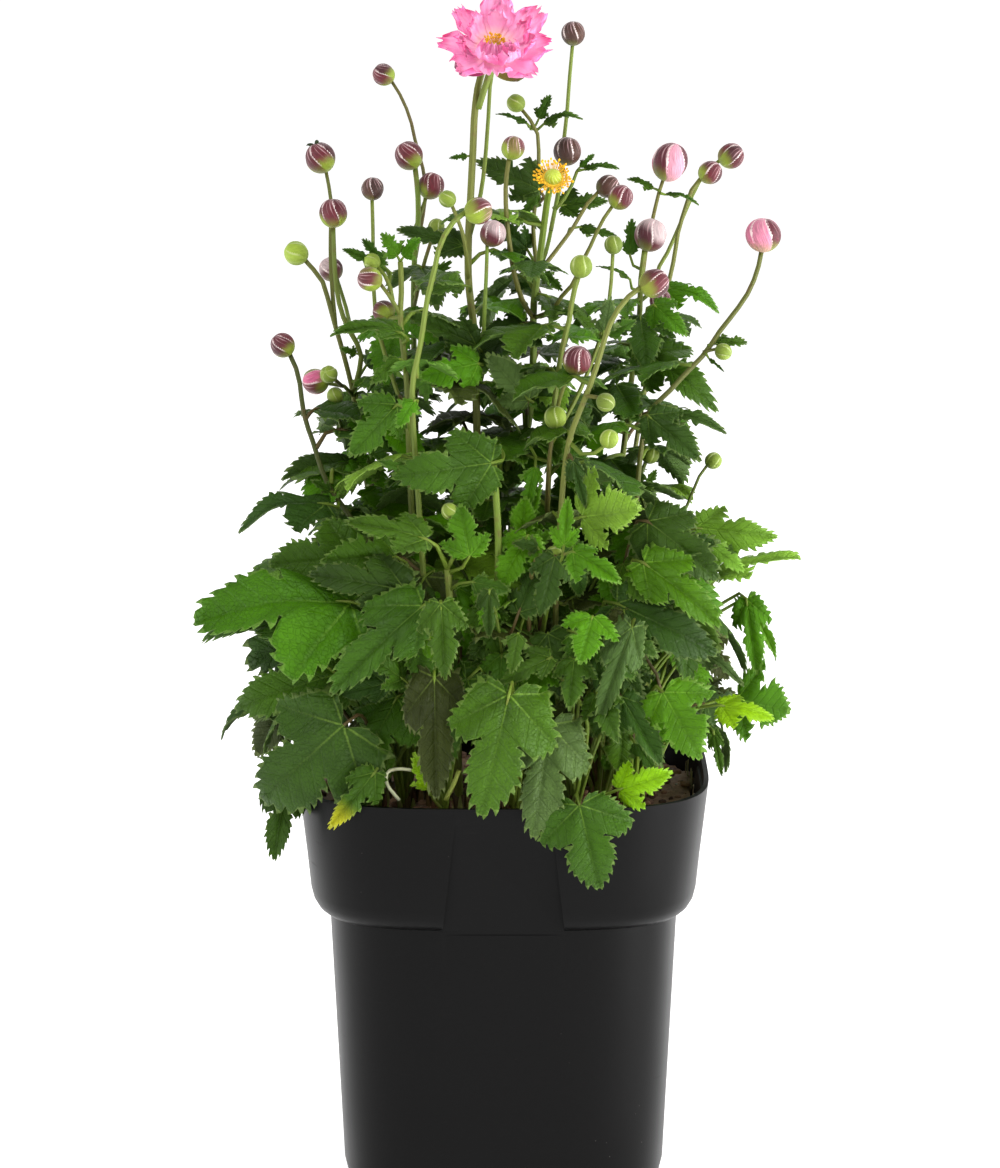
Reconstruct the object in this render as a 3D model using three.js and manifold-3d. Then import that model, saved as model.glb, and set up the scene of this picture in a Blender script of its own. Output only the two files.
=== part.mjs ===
// A Japanese anemone in a rounded-square nursery pot: soil, leaf tufts, leafy flowering stems, buds,
// one open double bloom and one spent head.
// Millimetres, +Z up, origin in the middle of the pot's underside. The front faces -Y.
import * as THREE from "three";
import { mergeVertices } from "three/addons/utils/BufferGeometryUtils.js";
import Module from "manifold-3d";

const wasm = await Module();
wasm.setup();

// Pot
const POT_HEIGHT = 184.5;
const RIM_HALF = 93.2;
const COLLAR_LOW_HALF = 87.8;
const COLLAR_LOW = 136;
const BODY_TOP = 126;
const BODY_TOP_HALF = 79.2;
const BASE_HALF = 72.7;
const BASE_ROUND = 8;
const WALL = 2.2;
const FLOOR = 3;
const PLAN_POWER = 3.8;
const POT_SIDES = 24;
const PANEL_TOP = 177;
const PANEL_TOP_HALF = 21.5;
const PANEL_LOW_HALF = 27.5;
const DRAIN_RADIUS = 5;
const DRAIN_REACH = 52;

// Soil and what stands in it
const GAP = 0.3;
const FINENESS = 0.4;
const SOIL_TOP = 172;
const ROOT_DEPTH = 12;
const CROWN_RADIUS = 4.2;
const CROWN_HEIGHT = 8;

// Stems and stalks
const STALK_RADIUS = 1.0;
const PETIOLE_RADIUS = 1.05;
const BLADE_HALF_THICKNESS = 0.7;

// The open bloom and the spent head
const BLOOM = { heart: [-5.5, 513, 10], axis: [0.06, -0.8, 0.6] };
const SPENT = { heart: [21, 453, 16], axis: [0.1, -0.76, 0.64], radius: 3.9 };

// The front view in which the tables below are written: a place is [right, up, near], how far right and
// how high it looks from the front, and how far in front of the pot's middle it stands.
const VIEW_DISTANCE = 2540;
const VIEW_TILT = THREE.MathUtils.degToRad(10.1);
const VIEW_HEIGHT = 269;
const VIEW_SIDE = -1.6;
const TABLE_MIDDLE = [-3.1, 265];

const Z = new THREE.Vector3(0, 0, 1);
const vec = (a) => new THREE.Vector3(...a);

// The place in the model of a table place, turned about the pot's middle by a number of degrees.
function seen([right, up, near], turn = 0) {
  const side = right - TABLE_MIDDLE[0];
  const rise = (up - TABLE_MIDDLE[1]) * Math.cos(VIEW_TILT);
  const [cos, sin] = [Math.cos(VIEW_TILT), Math.sin(VIEW_TILT)];
  const reach = (VIEW_DISTANCE * cos - near) / (VIEW_DISTANCE * cos + rise * sin);
  const height = VIEW_HEIGHT + VIEW_DISTANCE * sin + reach * (rise * cos - VIEW_DISTANCE * sin);
  const place = new THREE.Vector3(VIEW_SIDE + reach * side, -near, height);
  return place.applyAxisAngle(Z, THREE.MathUtils.degToRad(turn));
}

// A closed three.js geometry as a solid, and back.
function solidOf(geometry) {
  const bare = geometry.clone();
  bare.deleteAttribute("normal");
  bare.deleteAttribute("uv");
  const merged = mergeVertices(bare, 1e-4);
  return new wasm.Manifold(
    new wasm.Mesh({
      numProp: 3,
      vertProperties: merged.attributes.position.array,
      triVerts: new Uint32Array(merged.index.array),
    }),
  );
}

function geometryOf(solid) {
  const mesh = solid.getMesh();
  return new THREE.BufferGeometry()
    .setAttribute("position", new THREE.BufferAttribute(mesh.vertProperties, 3))
    .setIndex(new THREE.BufferAttribute(mesh.triVerts, 1));
}

function meshSolid(points, triangles) {
  const geometry = new THREE.BufferGeometry();
  const places = points.flatMap((p) => [p.x, p.y, p.z]);
  geometry.setAttribute("position", new THREE.Float32BufferAttribute(places, 3));
  geometry.setIndex(triangles.flat());
  return solidOf(geometry);
}

// Whether each edge still has two faces once vertices closer than a micron are one.
function sound(solid) {
  const index = mergeVertices(geometryOf(solid), 1e-3).index.array;
  const faces = new Map();
  for (let i = 0; i < index.length; i += 3) {
    for (const [a, b] of [[0, 1], [1, 2], [2, 0]]) {
      const ends = [index[i + a], index[i + b]].sort((one, other) => one - other).join();
      faces.set(ends, (faces.get(ends) ?? 0) + 1);
    }
  }
  return [...faces.values()].every((count) => count === 2);
}

// Keeps the largest body, without edges shorter than the fineness where that leaves it sound.
function tidy(solid, fineness) {
  const whole = solid.asOriginal().simplify(fineness);
  const largest = whole.decompose().reduce((best, one) => (one.volume() > best.volume() ? one : best));
  return sound(largest) || fineness < 0.005 ? largest : tidy(solid, 0.6 * fineness);
}

const fuse = (solids, fineness) => tidy(solids.reduce((all, one) => all.add(one)), fineness);

// A round tube through the points.
function tube(points, radius, sides, steps) {
  const section = new THREE.Shape();
  for (let i = 0; i < sides; i++) {
    const angle = (2 * Math.PI * i) / sides;
    const [x, y] = [radius * Math.cos(angle), radius * Math.sin(angle)];
    if (i) section.lineTo(x, y);
    else section.moveTo(x, y);
  }
  const path = new THREE.CatmullRomCurve3(points, false, "centripetal");
  const geometry = new THREE.ExtrudeGeometry(section, { steps, bevelEnabled: false, extrudePath: path });
  return { solid: solidOf(geometry), line: path.getSpacedPoints(steps) };
}

// The point nearest to a place on any of some lines.
function nearestOn(lines, place) {
  let best = place;
  let least = Infinity;
  for (const line of lines) {
    for (let i = 1; i < line.length; i++) {
      const spot = new THREE.Line3(line[i - 1], line[i]).closestPointToPoint(place, true,
        new THREE.Vector3());
      if (spot.distanceTo(place) < least) {
        least = spot.distanceTo(place);
        best = spot;
      }
    }
  }
  return best;
}

const stepsFor = (points, each) => {
  let length = 0;
  for (let i = 1; i < points.length; i++) length += points[i].distanceTo(points[i - 1]);
  return Math.max(2, Math.round(length / each));
};

// How far the rounded-square plan reaches in a direction, for a half width of one.
const planReach = (angle) =>
  (Math.abs(Math.cos(angle)) ** PLAN_POWER + Math.abs(Math.sin(angle)) ** PLAN_POWER) ** (-1 / PLAN_POWER);

// A lathe of [half width, height] points, pushed out from a circle to the rounded square.
function squareLathe(profile) {
  const geometry = new THREE.LatheGeometry(
    profile.map(([half, height]) => new THREE.Vector2(half, height)),
    POT_SIDES,
  ).rotateX(Math.PI / 2);
  const place = geometry.attributes.position;
  for (let i = 0; i < place.count; i++) {
    const [x, y] = [place.getX(i), place.getY(i)];
    const reach = planReach(Math.atan2(y, x));
    place.setXY(i, x * reach, y * reach);
  }
  return solidOf(geometry);
}

// The outer outline from the base up, moved in by an amount.
function potProfile(inwards) {
  const taper = (height) => BASE_HALF + ((BODY_TOP_HALF - BASE_HALF) * height) / BODY_TOP;
  return [
    [taper(BASE_ROUND) - inwards, BASE_ROUND],
    [BODY_TOP_HALF - inwards, BODY_TOP],
    [BODY_TOP_HALF + 4.6 - inwards, BODY_TOP + 3.4],
    [COLLAR_LOW_HALF - inwards, COLLAR_LOW],
    [RIM_HALF - inwards, POT_HEIGHT],
  ];
}

// The four recessed panels in the collar, each a wedge that is deepest at the collar's lower edge.
function panels(grow) {
  const outline = new THREE.Shape([
    new THREE.Vector2(-PANEL_LOW_HALF - grow, BODY_TOP - 2),
    new THREE.Vector2(PANEL_LOW_HALF + grow, BODY_TOP - 2),
    new THREE.Vector2(PANEL_TOP_HALF + grow, PANEL_TOP + grow),
    new THREE.Vector2(-PANEL_TOP_HALF - grow, PANEL_TOP + grow),
  ]);
  const panel = new THREE.ExtrudeGeometry(outline, { depth: 40, bevelEnabled: false });
  panel.rotateX(Math.PI / 2);
  const place = panel.attributes.position;
  const lean = (RIM_HALF - 2 - BODY_TOP_HALF) / (PANEL_TOP - BODY_TOP);
  for (let i = 0; i < place.count; i++) {
    const outer = place.getY(i) < -20;
    const face = BODY_TOP_HALF + (place.getZ(i) - BODY_TOP) * lean - grow;
    place.setY(i, outer ? -RIM_HALF - 20 : -face);
  }
  const one = solidOf(panel);
  return [0, 90, 180, 270].map((turn) => one.rotate([0, 0, turn])).reduce((all, next) => all.add(next));
}

function potSolid() {
  const outer = potProfile(0);
  const inner = potProfile(WALL);
  const rim = [inner.at(-1)[0] + 0.2, POT_HEIGHT + 2];
  const shell = squareLathe([[0, 0], [outer[0][0] - 5, 0], ...outer, [0, POT_HEIGHT]]);
  const hollow = squareLathe([[0, FLOOR], [inner[0][0] - 4, FLOOR], ...inner, rim, [0, rim[1]]]);
  let drains = shell.subtract(panels(0)).subtract(hollow.subtract(panels(WALL)));
  for (let i = 0; i < 8; i++) {
    const angle = (Math.PI * (i + 0.5)) / 4;
    const hole = new THREE.CylinderGeometry(DRAIN_RADIUS, DRAIN_RADIUS, 20, 6).rotateX(Math.PI / 2);
    hole.translate(DRAIN_REACH * Math.cos(angle), DRAIN_REACH * Math.sin(angle), 0);
    drains = drains.subtract(solidOf(hole));
  }
  return tidy(drains, 0.1);
}

function soilSolid(roots) {
  const sides = potProfile(WALL + GAP).slice(0, -1);
  const share = (SOIL_TOP - 1 - COLLAR_LOW) / (POT_HEIGHT - COLLAR_LOW);
  const edge = COLLAR_LOW_HALF + (RIM_HALF - COLLAR_LOW_HALF) * share - WALL - GAP;
  const crest = [[edge, SOIL_TOP - 1], [edge * 0.6, SOIL_TOP + 1], [0, SOIL_TOP]];
  const block = squareLathe([[0, FLOOR + GAP], [sides[0][0] - 4, FLOOR + GAP], ...sides, ...crest]);
  let soil = block.subtract(panels(WALL + GAP));
  for (const [x, near] of roots) {
    const radius = CROWN_RADIUS + GAP;
    const hole = new THREE.CylinderGeometry(radius, radius, 40, 5).rotateX(Math.PI / 2);
    hole.translate(x, -near, SOIL_TOP - ROOT_DEPTH - GAP + 20);
    soil = soil.subtract(solidOf(hole));
  }
  return tidy(soil, 0.25);
}

// Leaf blades. An outline half runs from the notch at the stalk to the tip, in shares of the length. Each
// fan joins one inner point of the blade, on the midrib or in the side lobe, to a run of outline points.
const BIG_LEAF = {
  outline: [[0.16, -0.12], [0.34, -0.02], [0.45, 0.12], [0.55, 0.35], [0.32, 0.45], [0.2, 0.38],
    [0.27, 0.58], [0.21, 0.78]],
  rib: [[0, 0.1], [0, 0.6]],
  lobe: [0.27, 0.2],
  lobeFan: [1, 6],
  tipFan: [6, 9],
};
const MID_LEAF = {
  outline: [[0.17, -0.08], [0.4, 0.08], [0.51, 0.34], [0.2, 0.38], [0.27, 0.6], [0.16, 0.82]],
  rib: [[0, 0.1], [0, 0.6]],
  lobe: [0.24, 0.18],
  lobeFan: [1, 4],
  tipFan: [4, 7],
};
const SMALL_LEAF = {
  outline: [[0.2, 0.06], [0.38, 0.32], [0.17, 0.4], [0.2, 0.7]],
  rib: [[0, 0.34]],
  tipFan: [1, 5],
};
const NECK = 3;
const SUNK = 0.7;
const SHORT_STALK = 45;
const BIG_FROM = 38;
const MID_FROM = 20;

// The triangles of the right half between the midrib, the side lobe and the numbered outline points.
function halfTriangles(kind) {
  const list = [];
  const fan = (centre, from, to) => {
    for (let i = from; i < to; i++) list.push([centre, i, i + 1]);
  };
  if (kind.lobe) {
    const [first, last] = kind.lobeFan;
    list.push(["rib0", "start", first], ["rib0", first, "lobe"], ["rib0", "lobe", last],
      ["rib0", last, "rib1"]);
    fan("lobe", first, last);
    fan("rib1", ...kind.tipFan);
  } else {
    list.push(["rib0", "start", 1]);
    fan("rib0", ...kind.tipFan);
  }
  return list;
}

// Where a blade stands: its stalk end, across, along and face directions, and length.
function bladeFrame(leaf) {
  const base = seen(leaf.hub, leaf.turn);
  const tip = seen(leaf.tip, leaf.turn);
  const along = tip.clone().sub(base);
  const length = along.length();
  along.normalize();
  const pitch = THREE.MathUtils.degToRad(leaf.face ?? 15);
  const face = new THREE.Vector3(0, -Math.cos(pitch), Math.sin(pitch));
  face.applyAxisAngle(Z, THREE.MathUtils.degToRad(leaf.turn ?? 0));
  face.addScaledVector(along, -face.dot(along)).normalize();
  return { base, along, face, across: along.clone().cross(face), length };
}

// A point of the blade: u across and v along in shares of the length, t above the middle sheet.
function bladePoint(frame, leaf, u, v, t) {
  const bow = leaf.bow ?? 0.08;
  const skew = 1 + 0.14 * leaf.skew * Math.sign(u);
  const wide = (leaf.wide ?? 0.8) * skew;
  const drop = 4 * bow * v * (1 - v) - (leaf.fold ?? 0.2) * Math.abs(u) * wide - 0.25 * u * u * wide;
  return frame.base
    .clone()
    .addScaledVector(frame.across, u * wide * frame.length)
    .addScaledVector(frame.along, v * frame.length)
    .addScaledVector(frame.face, drop * frame.length + t);
}

// The places that a leaf's stalk runs through: its root, a middle, a neck behind the blade, and the notch.
function stalkPlaces(leaf, frame, root, bow) {
  const end = bladePoint(frame, leaf, 0, 0, 0);
  const behind = Math.max(NECK, 0.1 * frame.length);
  const under = -0.6 * behind * Math.max(1, 0.8 / (leaf.wide ?? 0.8));
  const neck = end.clone().addScaledVector(frame.along, -behind).addScaledVector(frame.face, under);
  if (root.distanceTo(end) < 1.6 * behind) return [root.clone(), end];
  if (root.distanceTo(end) < SHORT_STALK) return [root.clone(), neck, end];
  const side = new THREE.Vector3().crossVectors(neck.clone().sub(root), Z);
  if (side.lengthSq() > 0) side.normalize();
  const rise = neck.z - root.z;
  const middle = new THREE.Vector3(
    root.x + 0.42 * (neck.x - root.x),
    root.y + 0.42 * (neck.y - root.y),
    root.z + 0.66 * rise + Math.max(3, 10 - 0.08 * rise) * (leaf.lift ?? 1),
  ).addScaledVector(side, bow);
  return [root.clone(), middle, neck, end];
}

// A leaf as one closed sheet: the blade, lens-shaped in section, whose notch opens into a three-sided
// stalk. Where the stalk runs into the blade, the two are fused. Extra thickens the blade for the tests of
// what it would cross.
function leafSolid(leaf, root, bow, extra = 0) {
  const frame = bladeFrame(leaf);
  const kind = frame.length > BIG_FROM ? BIG_LEAF : frame.length > MID_FROM ? MID_LEAF : SMALL_LEAF;
  const points = [];
  const keep = (point) => points.push(point) - 1;
  const add = (u, v, t) => keep(bladePoint(frame, leaf, u, v, t));
  const thick = BLADE_HALF_THICKNESS + extra;
  const tip = add(0, 1, 0);
  const ribs = kind.rib.map(([u, v]) => [add(u, v, thick), add(u, v, -thick)]);

  // The stalk's rings run from the blade down to the root, each with a point above and one on each side.
  const radius = Math.min(PETIOLE_RADIUS, 0.45 + frame.length * 0.02);
  const course = stalkPlaces(leaf, frame, root, bow).reverse();
  course.at(-1).addScaledVector(course.at(-2).clone().sub(root).normalize(), -SUNK);
  const steps = course.length - 1;
  const ringAt = (heart, forward, above) => {
    const right = forward.clone().cross(above);
    const corner = (x, y) =>
      keep(heart.clone().addScaledVector(right, x * radius).addScaledVector(above, y * radius));
    return [corner(0, 1), corner(0.87, -0.5), corner(-0.87, -0.5)];
  };
  const forwards = [];
  const aboves = [];
  for (let i = 0; i <= steps; i++) {
    const forward = course[Math.max(i - 1, 0)].clone().sub(course[Math.min(i + 1, steps)]).normalize();
    const last = aboves.at(-1) ?? frame.face;
    forwards.push(forward);
    aboves.push(last.clone().addScaledVector(forward, -last.dot(forward)).normalize());
  }
  const rings = course.map((heart, i) => ringAt(heart, forwards[i], aboves[i]));
  const cap = (ring) => [ring[0], ring[2], ring[1]];
  const tubeOf = (list) => {
    const faces = [cap(list.at(-1))];
    for (let i = 1; i < list.length; i++) {
      for (let j = 0; j < 3; j++) {
        const k = (j + 1) % 3;
        const [a, b, c, d] = [list[i - 1][j], list[i - 1][k], list[i][k], list[i][j]];
        faces.push([a, c, b], [a, d, c]);
      }
    }
    return faces;
  };
  const triangles = [];

  const [top, right, left] = rings[0];
  triangles.push([ribs[0][0], top, right], [ribs[0][0], left, top], [ribs[0][1], right, left]);
  for (const side of [1, -1]) {
    const outline = kind.outline.map(([u, v]) => add(side * u, v, 0));
    const lobe = kind.lobe && [1, -1].map((up) => add(side * kind.lobe[0], kind.lobe[1], up * thick));
    const pick = (name, under) => {
      if (name === "start") return side > 0 ? right : left;
      if (name === "lobe") return lobe[under];
      if (name === "rib0" || name === "rib1") return ribs[Number(name.at(-1))][under];
      return name > outline.length ? tip : outline[name - 1];
    };
    for (const names of halfTriangles(kind)) {
      for (const under of [0, 1]) {
        const [a, b, c] = names.map((name) => pick(name, under));
        triangles.push((side < 0) !== (under === 1) ? [a, c, b] : [a, b, c]);
      }
    }
  }
  const whole = () => meshSolid(points, [...triangles, ...tubeOf(rings)]);
  if (steps === 1) return whole();
  const blade = meshSolid(points, [...triangles, ...tubeOf(rings.slice(0, 2))]);
  const tail = meshSolid(points, [...tubeOf(rings.slice(1)), cap(rings[1]).reverse()]);
  if (blade.intersect(tail).volume() < 1e-4) return whole();
  const entry = ringAt(bladePoint(frame, leaf, 0, 0.05, 0), forwards[0], aboves[0]);
  const bare = meshSolid(points, [...triangles, cap(rings[0])]);
  return bare.add(meshSolid(points, [...tubeOf([entry, ...rings.slice(1)]), cap(entry).reverse()]));
}

// A bud with five overlapping sepals: a globe whose radius rises on each sepal.
function bud({ at, radius, axis, stretch, sides }) {
  const geometry = new THREE.SphereGeometry(1, sides, 4);
  const place = geometry.attributes.position;
  const point = new THREE.Vector3();
  for (let i = 0; i < place.count; i++) {
    point.fromBufferAttribute(place, i);
    const round = Math.atan2(point.z, point.x);
    const waist = Math.hypot(point.x, point.z);
    const ridge = sides === 10 ? 1 - 0.05 * waist * (1 - Math.cos(5 * round)) : 1;
    const swell = waist > 0.9 ? 1.02 : 1.1;
    place.setXYZ(i, point.x * ridge * swell * radius, point.y * radius * stretch,
      point.z * ridge * swell * radius);
  }
  geometry.applyQuaternion(new THREE.Quaternion().setFromUnitVectors(new THREE.Vector3(0, 1, 0), axis));
  geometry.translate(at.x, at.y, at.z);
  return solidOf(geometry);
}

// Flowering stems. A stem has a root [right, near] in the soil and courses through the places listed; the
// first course starts at the root. A bud is [place, radius, its name or "" when it is green], and stands
// on the course that ends below it. Leaves are {hub, tip, ...}, with root, the place that their stalk
// grows from, where it isn't the hub itself.
const STEMS = {
  stem_bloom: {
    root: [-12, -4],
    courses: [
      { to: [[-12, 230, 0], [-13, 300, 2], [-14, 350, 4], [-15, 382, 5], [-17.5, 405, 6], [-17.5, 425, 6],
        [-16.5, 445, 5], [-15.5, 465, 3], [-14.5, 485, 0], [-12, 500, -3], [-8.5, 507, -2]], radius: 1.9 },
      { to: [[-17.5, 425, 6], [-12, 445, -2], [-10, 460, -8], [-8.5, 480, -14], [-7, 500, -20],
        [-5, 506, -22]],
        bud: [[-3, 512, -24], 5.2, ""] },
      { to: [[-14, 350, 4], [-11, 376, 12], [-10, 395, 14], [-9.3, 410, 14], [-9.5, 421, 14]],
        bud: [[-6.3, 427, 14], 5.8, "bud_12"] },
      { to: [[-17.5, 405, 6], [-19, 422, 16], [-21, 430, 18], [-24, 439, 18]],
        bud: [[-27, 443, 18], 3.8, ""] },
    ],
    leaves: [
      { hub: [-14, 375, 22], tip: [-46, 390, 22], root: [-14.5, 366, 5], wide: 0.5, face: 20 },
      { hub: [-13, 367, 32], tip: [-40, 361, 40], root: [-14, 350, 4], wide: 0.8, face: 8 },
      { hub: [-19, 403, 18], tip: [-38, 400, 24], root: [-17, 400, 6], wide: 0.7 },
      { hub: [-20, 421, 0], tip: [-50, 428, -6], root: [-17.5, 420, 6], wide: 0.5, face: 35 },
      { hub: [-16.5, 463, 3], tip: [-26, 462, 6], wide: 0.6 },
      { hub: [-14, 372, -10], tip: [-6, 366, -46], root: [-14, 355, 4], wide: 0.8, face: 80 },
      { hub: [-20, 340, -12], tip: [-28, 336, -50], root: [-13, 320, 2], wide: 0.8, face: 70 },
    ],
  },
  stem_left_front: {
    root: [-30, 36],
    courses: [
      { to: [[-36, 240, 44], [-40, 300, 52], [-43, 357, 56], [-41, 368, 56], [-39, 378, 56], [-36, 398, 56],
        [-33, 410, 56], [-31, 420, 56], [-28, 427, 56], [-23, 434, 55], [-19.5, 437, 54]],
        bud: [[-13, 437.5, 53], 6, "bud_11"], radius: 1.4 },
    ],
    leaves: [
      { hub: [-50, 348, 50], tip: [-72, 324, 56], root: [-42, 330, 55], wide: 0.8, face: 8 },
      { hub: [-42, 350, 62], tip: [-50, 337, 66], root: [-42, 344, 55], wide: 1 },
      { hub: [-46, 318, 62], tip: [-58, 322, 66], root: [-41, 312, 54], wide: 0.8 },
    ],
  },
  stem_left_back: {
    root: [-26, -34],
    courses: [
      { to: [[-34, 240, -40], [-40, 300, -44], [-42, 360, -46], [-42.5, 393, -46], [-42, 416, -46],
        [-40.5, 430, -46], [-40.5, 445, -46], [-41.5, 457, -46]], bud: [[-44.6, 463, -46], 6.4, "bud_4"],
        radius: 1.5 },
      { to: [[-40.5, 430, -46], [-37.5, 442, -49]], bud: [[-34.4, 449, -50], 6, "bud_8"] },
      { to: [[-42, 416, -46], [-37, 446, -58], [-38, 456, -60], [-41.5, 469, -60], [-44, 480, -60],
        [-48, 490, -60], [-52, 497, -60]], bud: [[-56, 500.5, -60], 5, "bud_3"], radius: 0.9 },
      { to: [[-42.5, 393, -46], [-38, 412, -38], [-35, 424, -36]], bud: [[-32, 430, -35], 3.8, ""] },
    ],
    leaves: [
      { hub: [-40, 402, -40], tip: [-26, 414, -34], root: [-42.4, 398, -46], wide: 0.7 },
      { hub: [-42, 352, -56], tip: [-54, 350, -92], root: [-42, 340, -46], wide: 0.8, face: 80 },
      { hub: [-38, 372, -34], tip: [-22, 384, -24], root: [-42, 360, -46], wide: 0.8, face: 20 },
    ],
  },
  stem_left_inner: {
    root: [-38, 12],
    courses: [
      { to: [[-42, 260, 18], [-45, 340, 24], [-45.5, 358, 26], [-47, 372, 27], [-48.5, 388, 28],
        [-48, 402, 28],
        [-48.5, 414, 28]], radius: 1.5 },
      { to: [[-48.5, 388, 28], [-52, 396, 30], [-56, 403, 31]], bud: [[-62.3, 406, 31], 5.4, "bud_29"] },
      { to: [[-52, 396, 30], [-54, 405, 28], [-57, 410.5, 26]], bud: [[-61.3, 414, 24], 3.8, ""] },
      { to: [[-48.5, 388, 28], [-52.5, 385.5, 22]], bud: [[-56, 390.8, 16], 5, "bud_30"] },
      { to: [[-45, 340, 24], [-52, 360, 10], [-59, 385, 2], [-60.5, 400, 0], [-61, 430, -2],
        [-61.4, 442, -2]],
        bud: [[-61, 447.7, -2], 5, "bud_6"] },
    ],
    leaves: [
      { hub: [-48, 381, 34], tip: [-80, 380, 38], root: [-47.6, 376, 27], wide: 0.4, face: 50, bow: 0.14 },
      { hub: [-49, 369, 38], tip: [-62, 358, 44], root: [-46, 362, 26], wide: 0.9 },
      { hub: [-48.4, 414.5, 29], tip: [-57, 427, 32], wide: 1.2, face: 30 },
      { hub: [-48.4, 414.5, 28], tip: [-40, 425, 30], wide: 1.1, face: 30 },
      { hub: [-56, 412, 28], tip: [-75, 420, 24], root: [-54, 404, 29], wide: 0.4 },
      { hub: [-56, 412, 24], tip: [-66, 425, 18], root: [-54, 404, 28], wide: 0.6 },
    ],
  },
  stem_left: {
    root: [-46, -10],
    courses: [
      { to: [[-52, 240, -14], [-62, 300, -18], [-68, 340, -20], [-69.8, 352, -20], [-71, 358, -20],
        [-74, 370, -20], [-78, 384, -20], [-81, 395, -20], [-84, 405, -20], [-90.5, 414, -20]],
        bud: [[-95.8, 418, -20], 5.4, ""], radius: 1.3 },
      { to: [[-78, 384, -20], [-79.4, 400, -22], [-80.2, 415, -24], [-80.2, 430, -26], [-80, 442, -27],
        [-82, 455, -27]], bud: [[-84.8, 462, -27], 6.8, "bud_5"] },
      { to: [[-69.8, 352, -20], [-66.4, 372, -12], [-70.5, 380, -10], [-75, 390, -8], [-77.6, 402, -7],
        [-78.5, 415, -7], [-79, 429, -7]], bud: [[-79, 436.4, -7], 6.3, "bud_7"], radius: 1.2 },
      { to: [[-70.5, 380, -10], [-73, 392, -30], [-76, 404, -36]], bud: [[-80, 410.5, -38], 5.4, "bud_27"] },
      { to: [[-69.8, 352, -20], [-75, 357, -14], [-80, 357.5, -12]],
        bud: [[-87, 358.7, -12], 5.8, "bud_32"] },
      { to: [[-75, 357, -14], [-78, 359.5, -6]], bud: [[-81, 361.8, 0], 4, ""] },
      { to: [[-68, 340, -20], [-74.5, 335, -8], [-76.6, 343, -6]], bud: [[-78, 352, -5], 3.8, ""] },
    ],
    leaves: [
      { hub: [-62, 320, -8], tip: [-102, 315, -2], root: [-64, 308, -18], wide: 0.5, face: 62, bow: 0.1 },
      { hub: [-67, 371, -12], tip: [-76, 374, -8], wide: 0.9 },
      { hub: [-64, 366, -24], tip: [-52, 376, -18], root: [-68.6, 356, -19], wide: 0.9 },
      { hub: [-60, 348, -16], tip: [-50, 356, -4], root: [-67, 338, -20], wide: 0.9 },
      { hub: [-70, 340, -32], tip: [-84, 338, -64], root: [-66, 325, -19], wide: 0.8, face: 75 },
      { hub: [-58, 318, 8], tip: [-71, 315, 18], root: [-64, 310, -18], wide: 0.9 },
    ],
  },
  stem_left_outer: {
    root: [-52, 14],
    courses: [
      { to: [[-58, 240, 18], [-70, 294, 20], [-74, 300, 20], [-79, 307, 19], [-82, 312, 18], [-85, 320, 17],
        [-88, 330, 16], [-92, 342, 15], [-93.6, 352, 15], [-95, 362, 15], [-98.3, 370.5, 15]],
        bud: [[-102, 375.4, 15], 5.4, "bud_31"], radius: 1.3 },
    ],
    leaves: [
      { hub: [-82, 302, 26], tip: [-122, 290, 22], root: [-76, 303, 20], wide: 0.55, face: 62, bow: 0.16 },
      { hub: [-79, 307, 20], tip: [-89, 313, 24], wide: 0.8 },
      { hub: [-79, 307, 19], tip: [-70, 316, 15], wide: 0.8 },
    ],
  },
  stem_centre: {
    root: [4, -14],
    courses: [
      { to: [[-2, 235, -13], [-3, 290, -12], [-2, 314, -12], [4, 326, -13], [9, 336, -14], [11, 352, -15],
        [12, 372, -16], [12, 388, -16], [12.5, 398, -16], [14, 408, -15], [15.5, 420, -13], [17, 432, -9],
        [18.5, 443, -2], [20.3, 450, 8], [20.8, 451.8, 12.5]], radius: 1.8 },
      { to: [[12, 388, -16], [8, 394, -10], [5, 402, -4], [3, 410, 0], [1.5, 420, 3], [0, 432, 5],
        [-0.5, 450, 6], [0.5, 460.5, 6]], bud: [[2.8, 466.6, 6], 5.2, "bud_13"], radius: 1.2 },
      { to: [[14, 408, -15], [18, 419, -26], [20, 428, -34], [22, 438, -38], [24, 447, -40],
        [25.4, 457, -42]],
        bud: [[27.5, 465, -42], 6.3, "bud_14"] },
      { to: [[20, 428, -34], [24, 450, -54], [26, 470, -58], [27.5, 484, -58], [28.5, 498, -58],
        [29.8, 512, -58]],
        bud: [[30.3, 519.5, -58], 5.4, "bud_1"] },
      { to: [[14, 408, -15], [12, 430, -24], [14.2, 452, -26], [14.5, 465, -27], [13.5, 475, -28],
        [11, 479, -28], [8, 483, -28]], bud: [[4.2, 487.3, -28], 4.1, ""] },
      { to: [[14, 408, -15], [20, 416, -22], [26, 424, -28], [31, 431, -32], [36, 440, -36], [41, 446, -38]],
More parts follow.
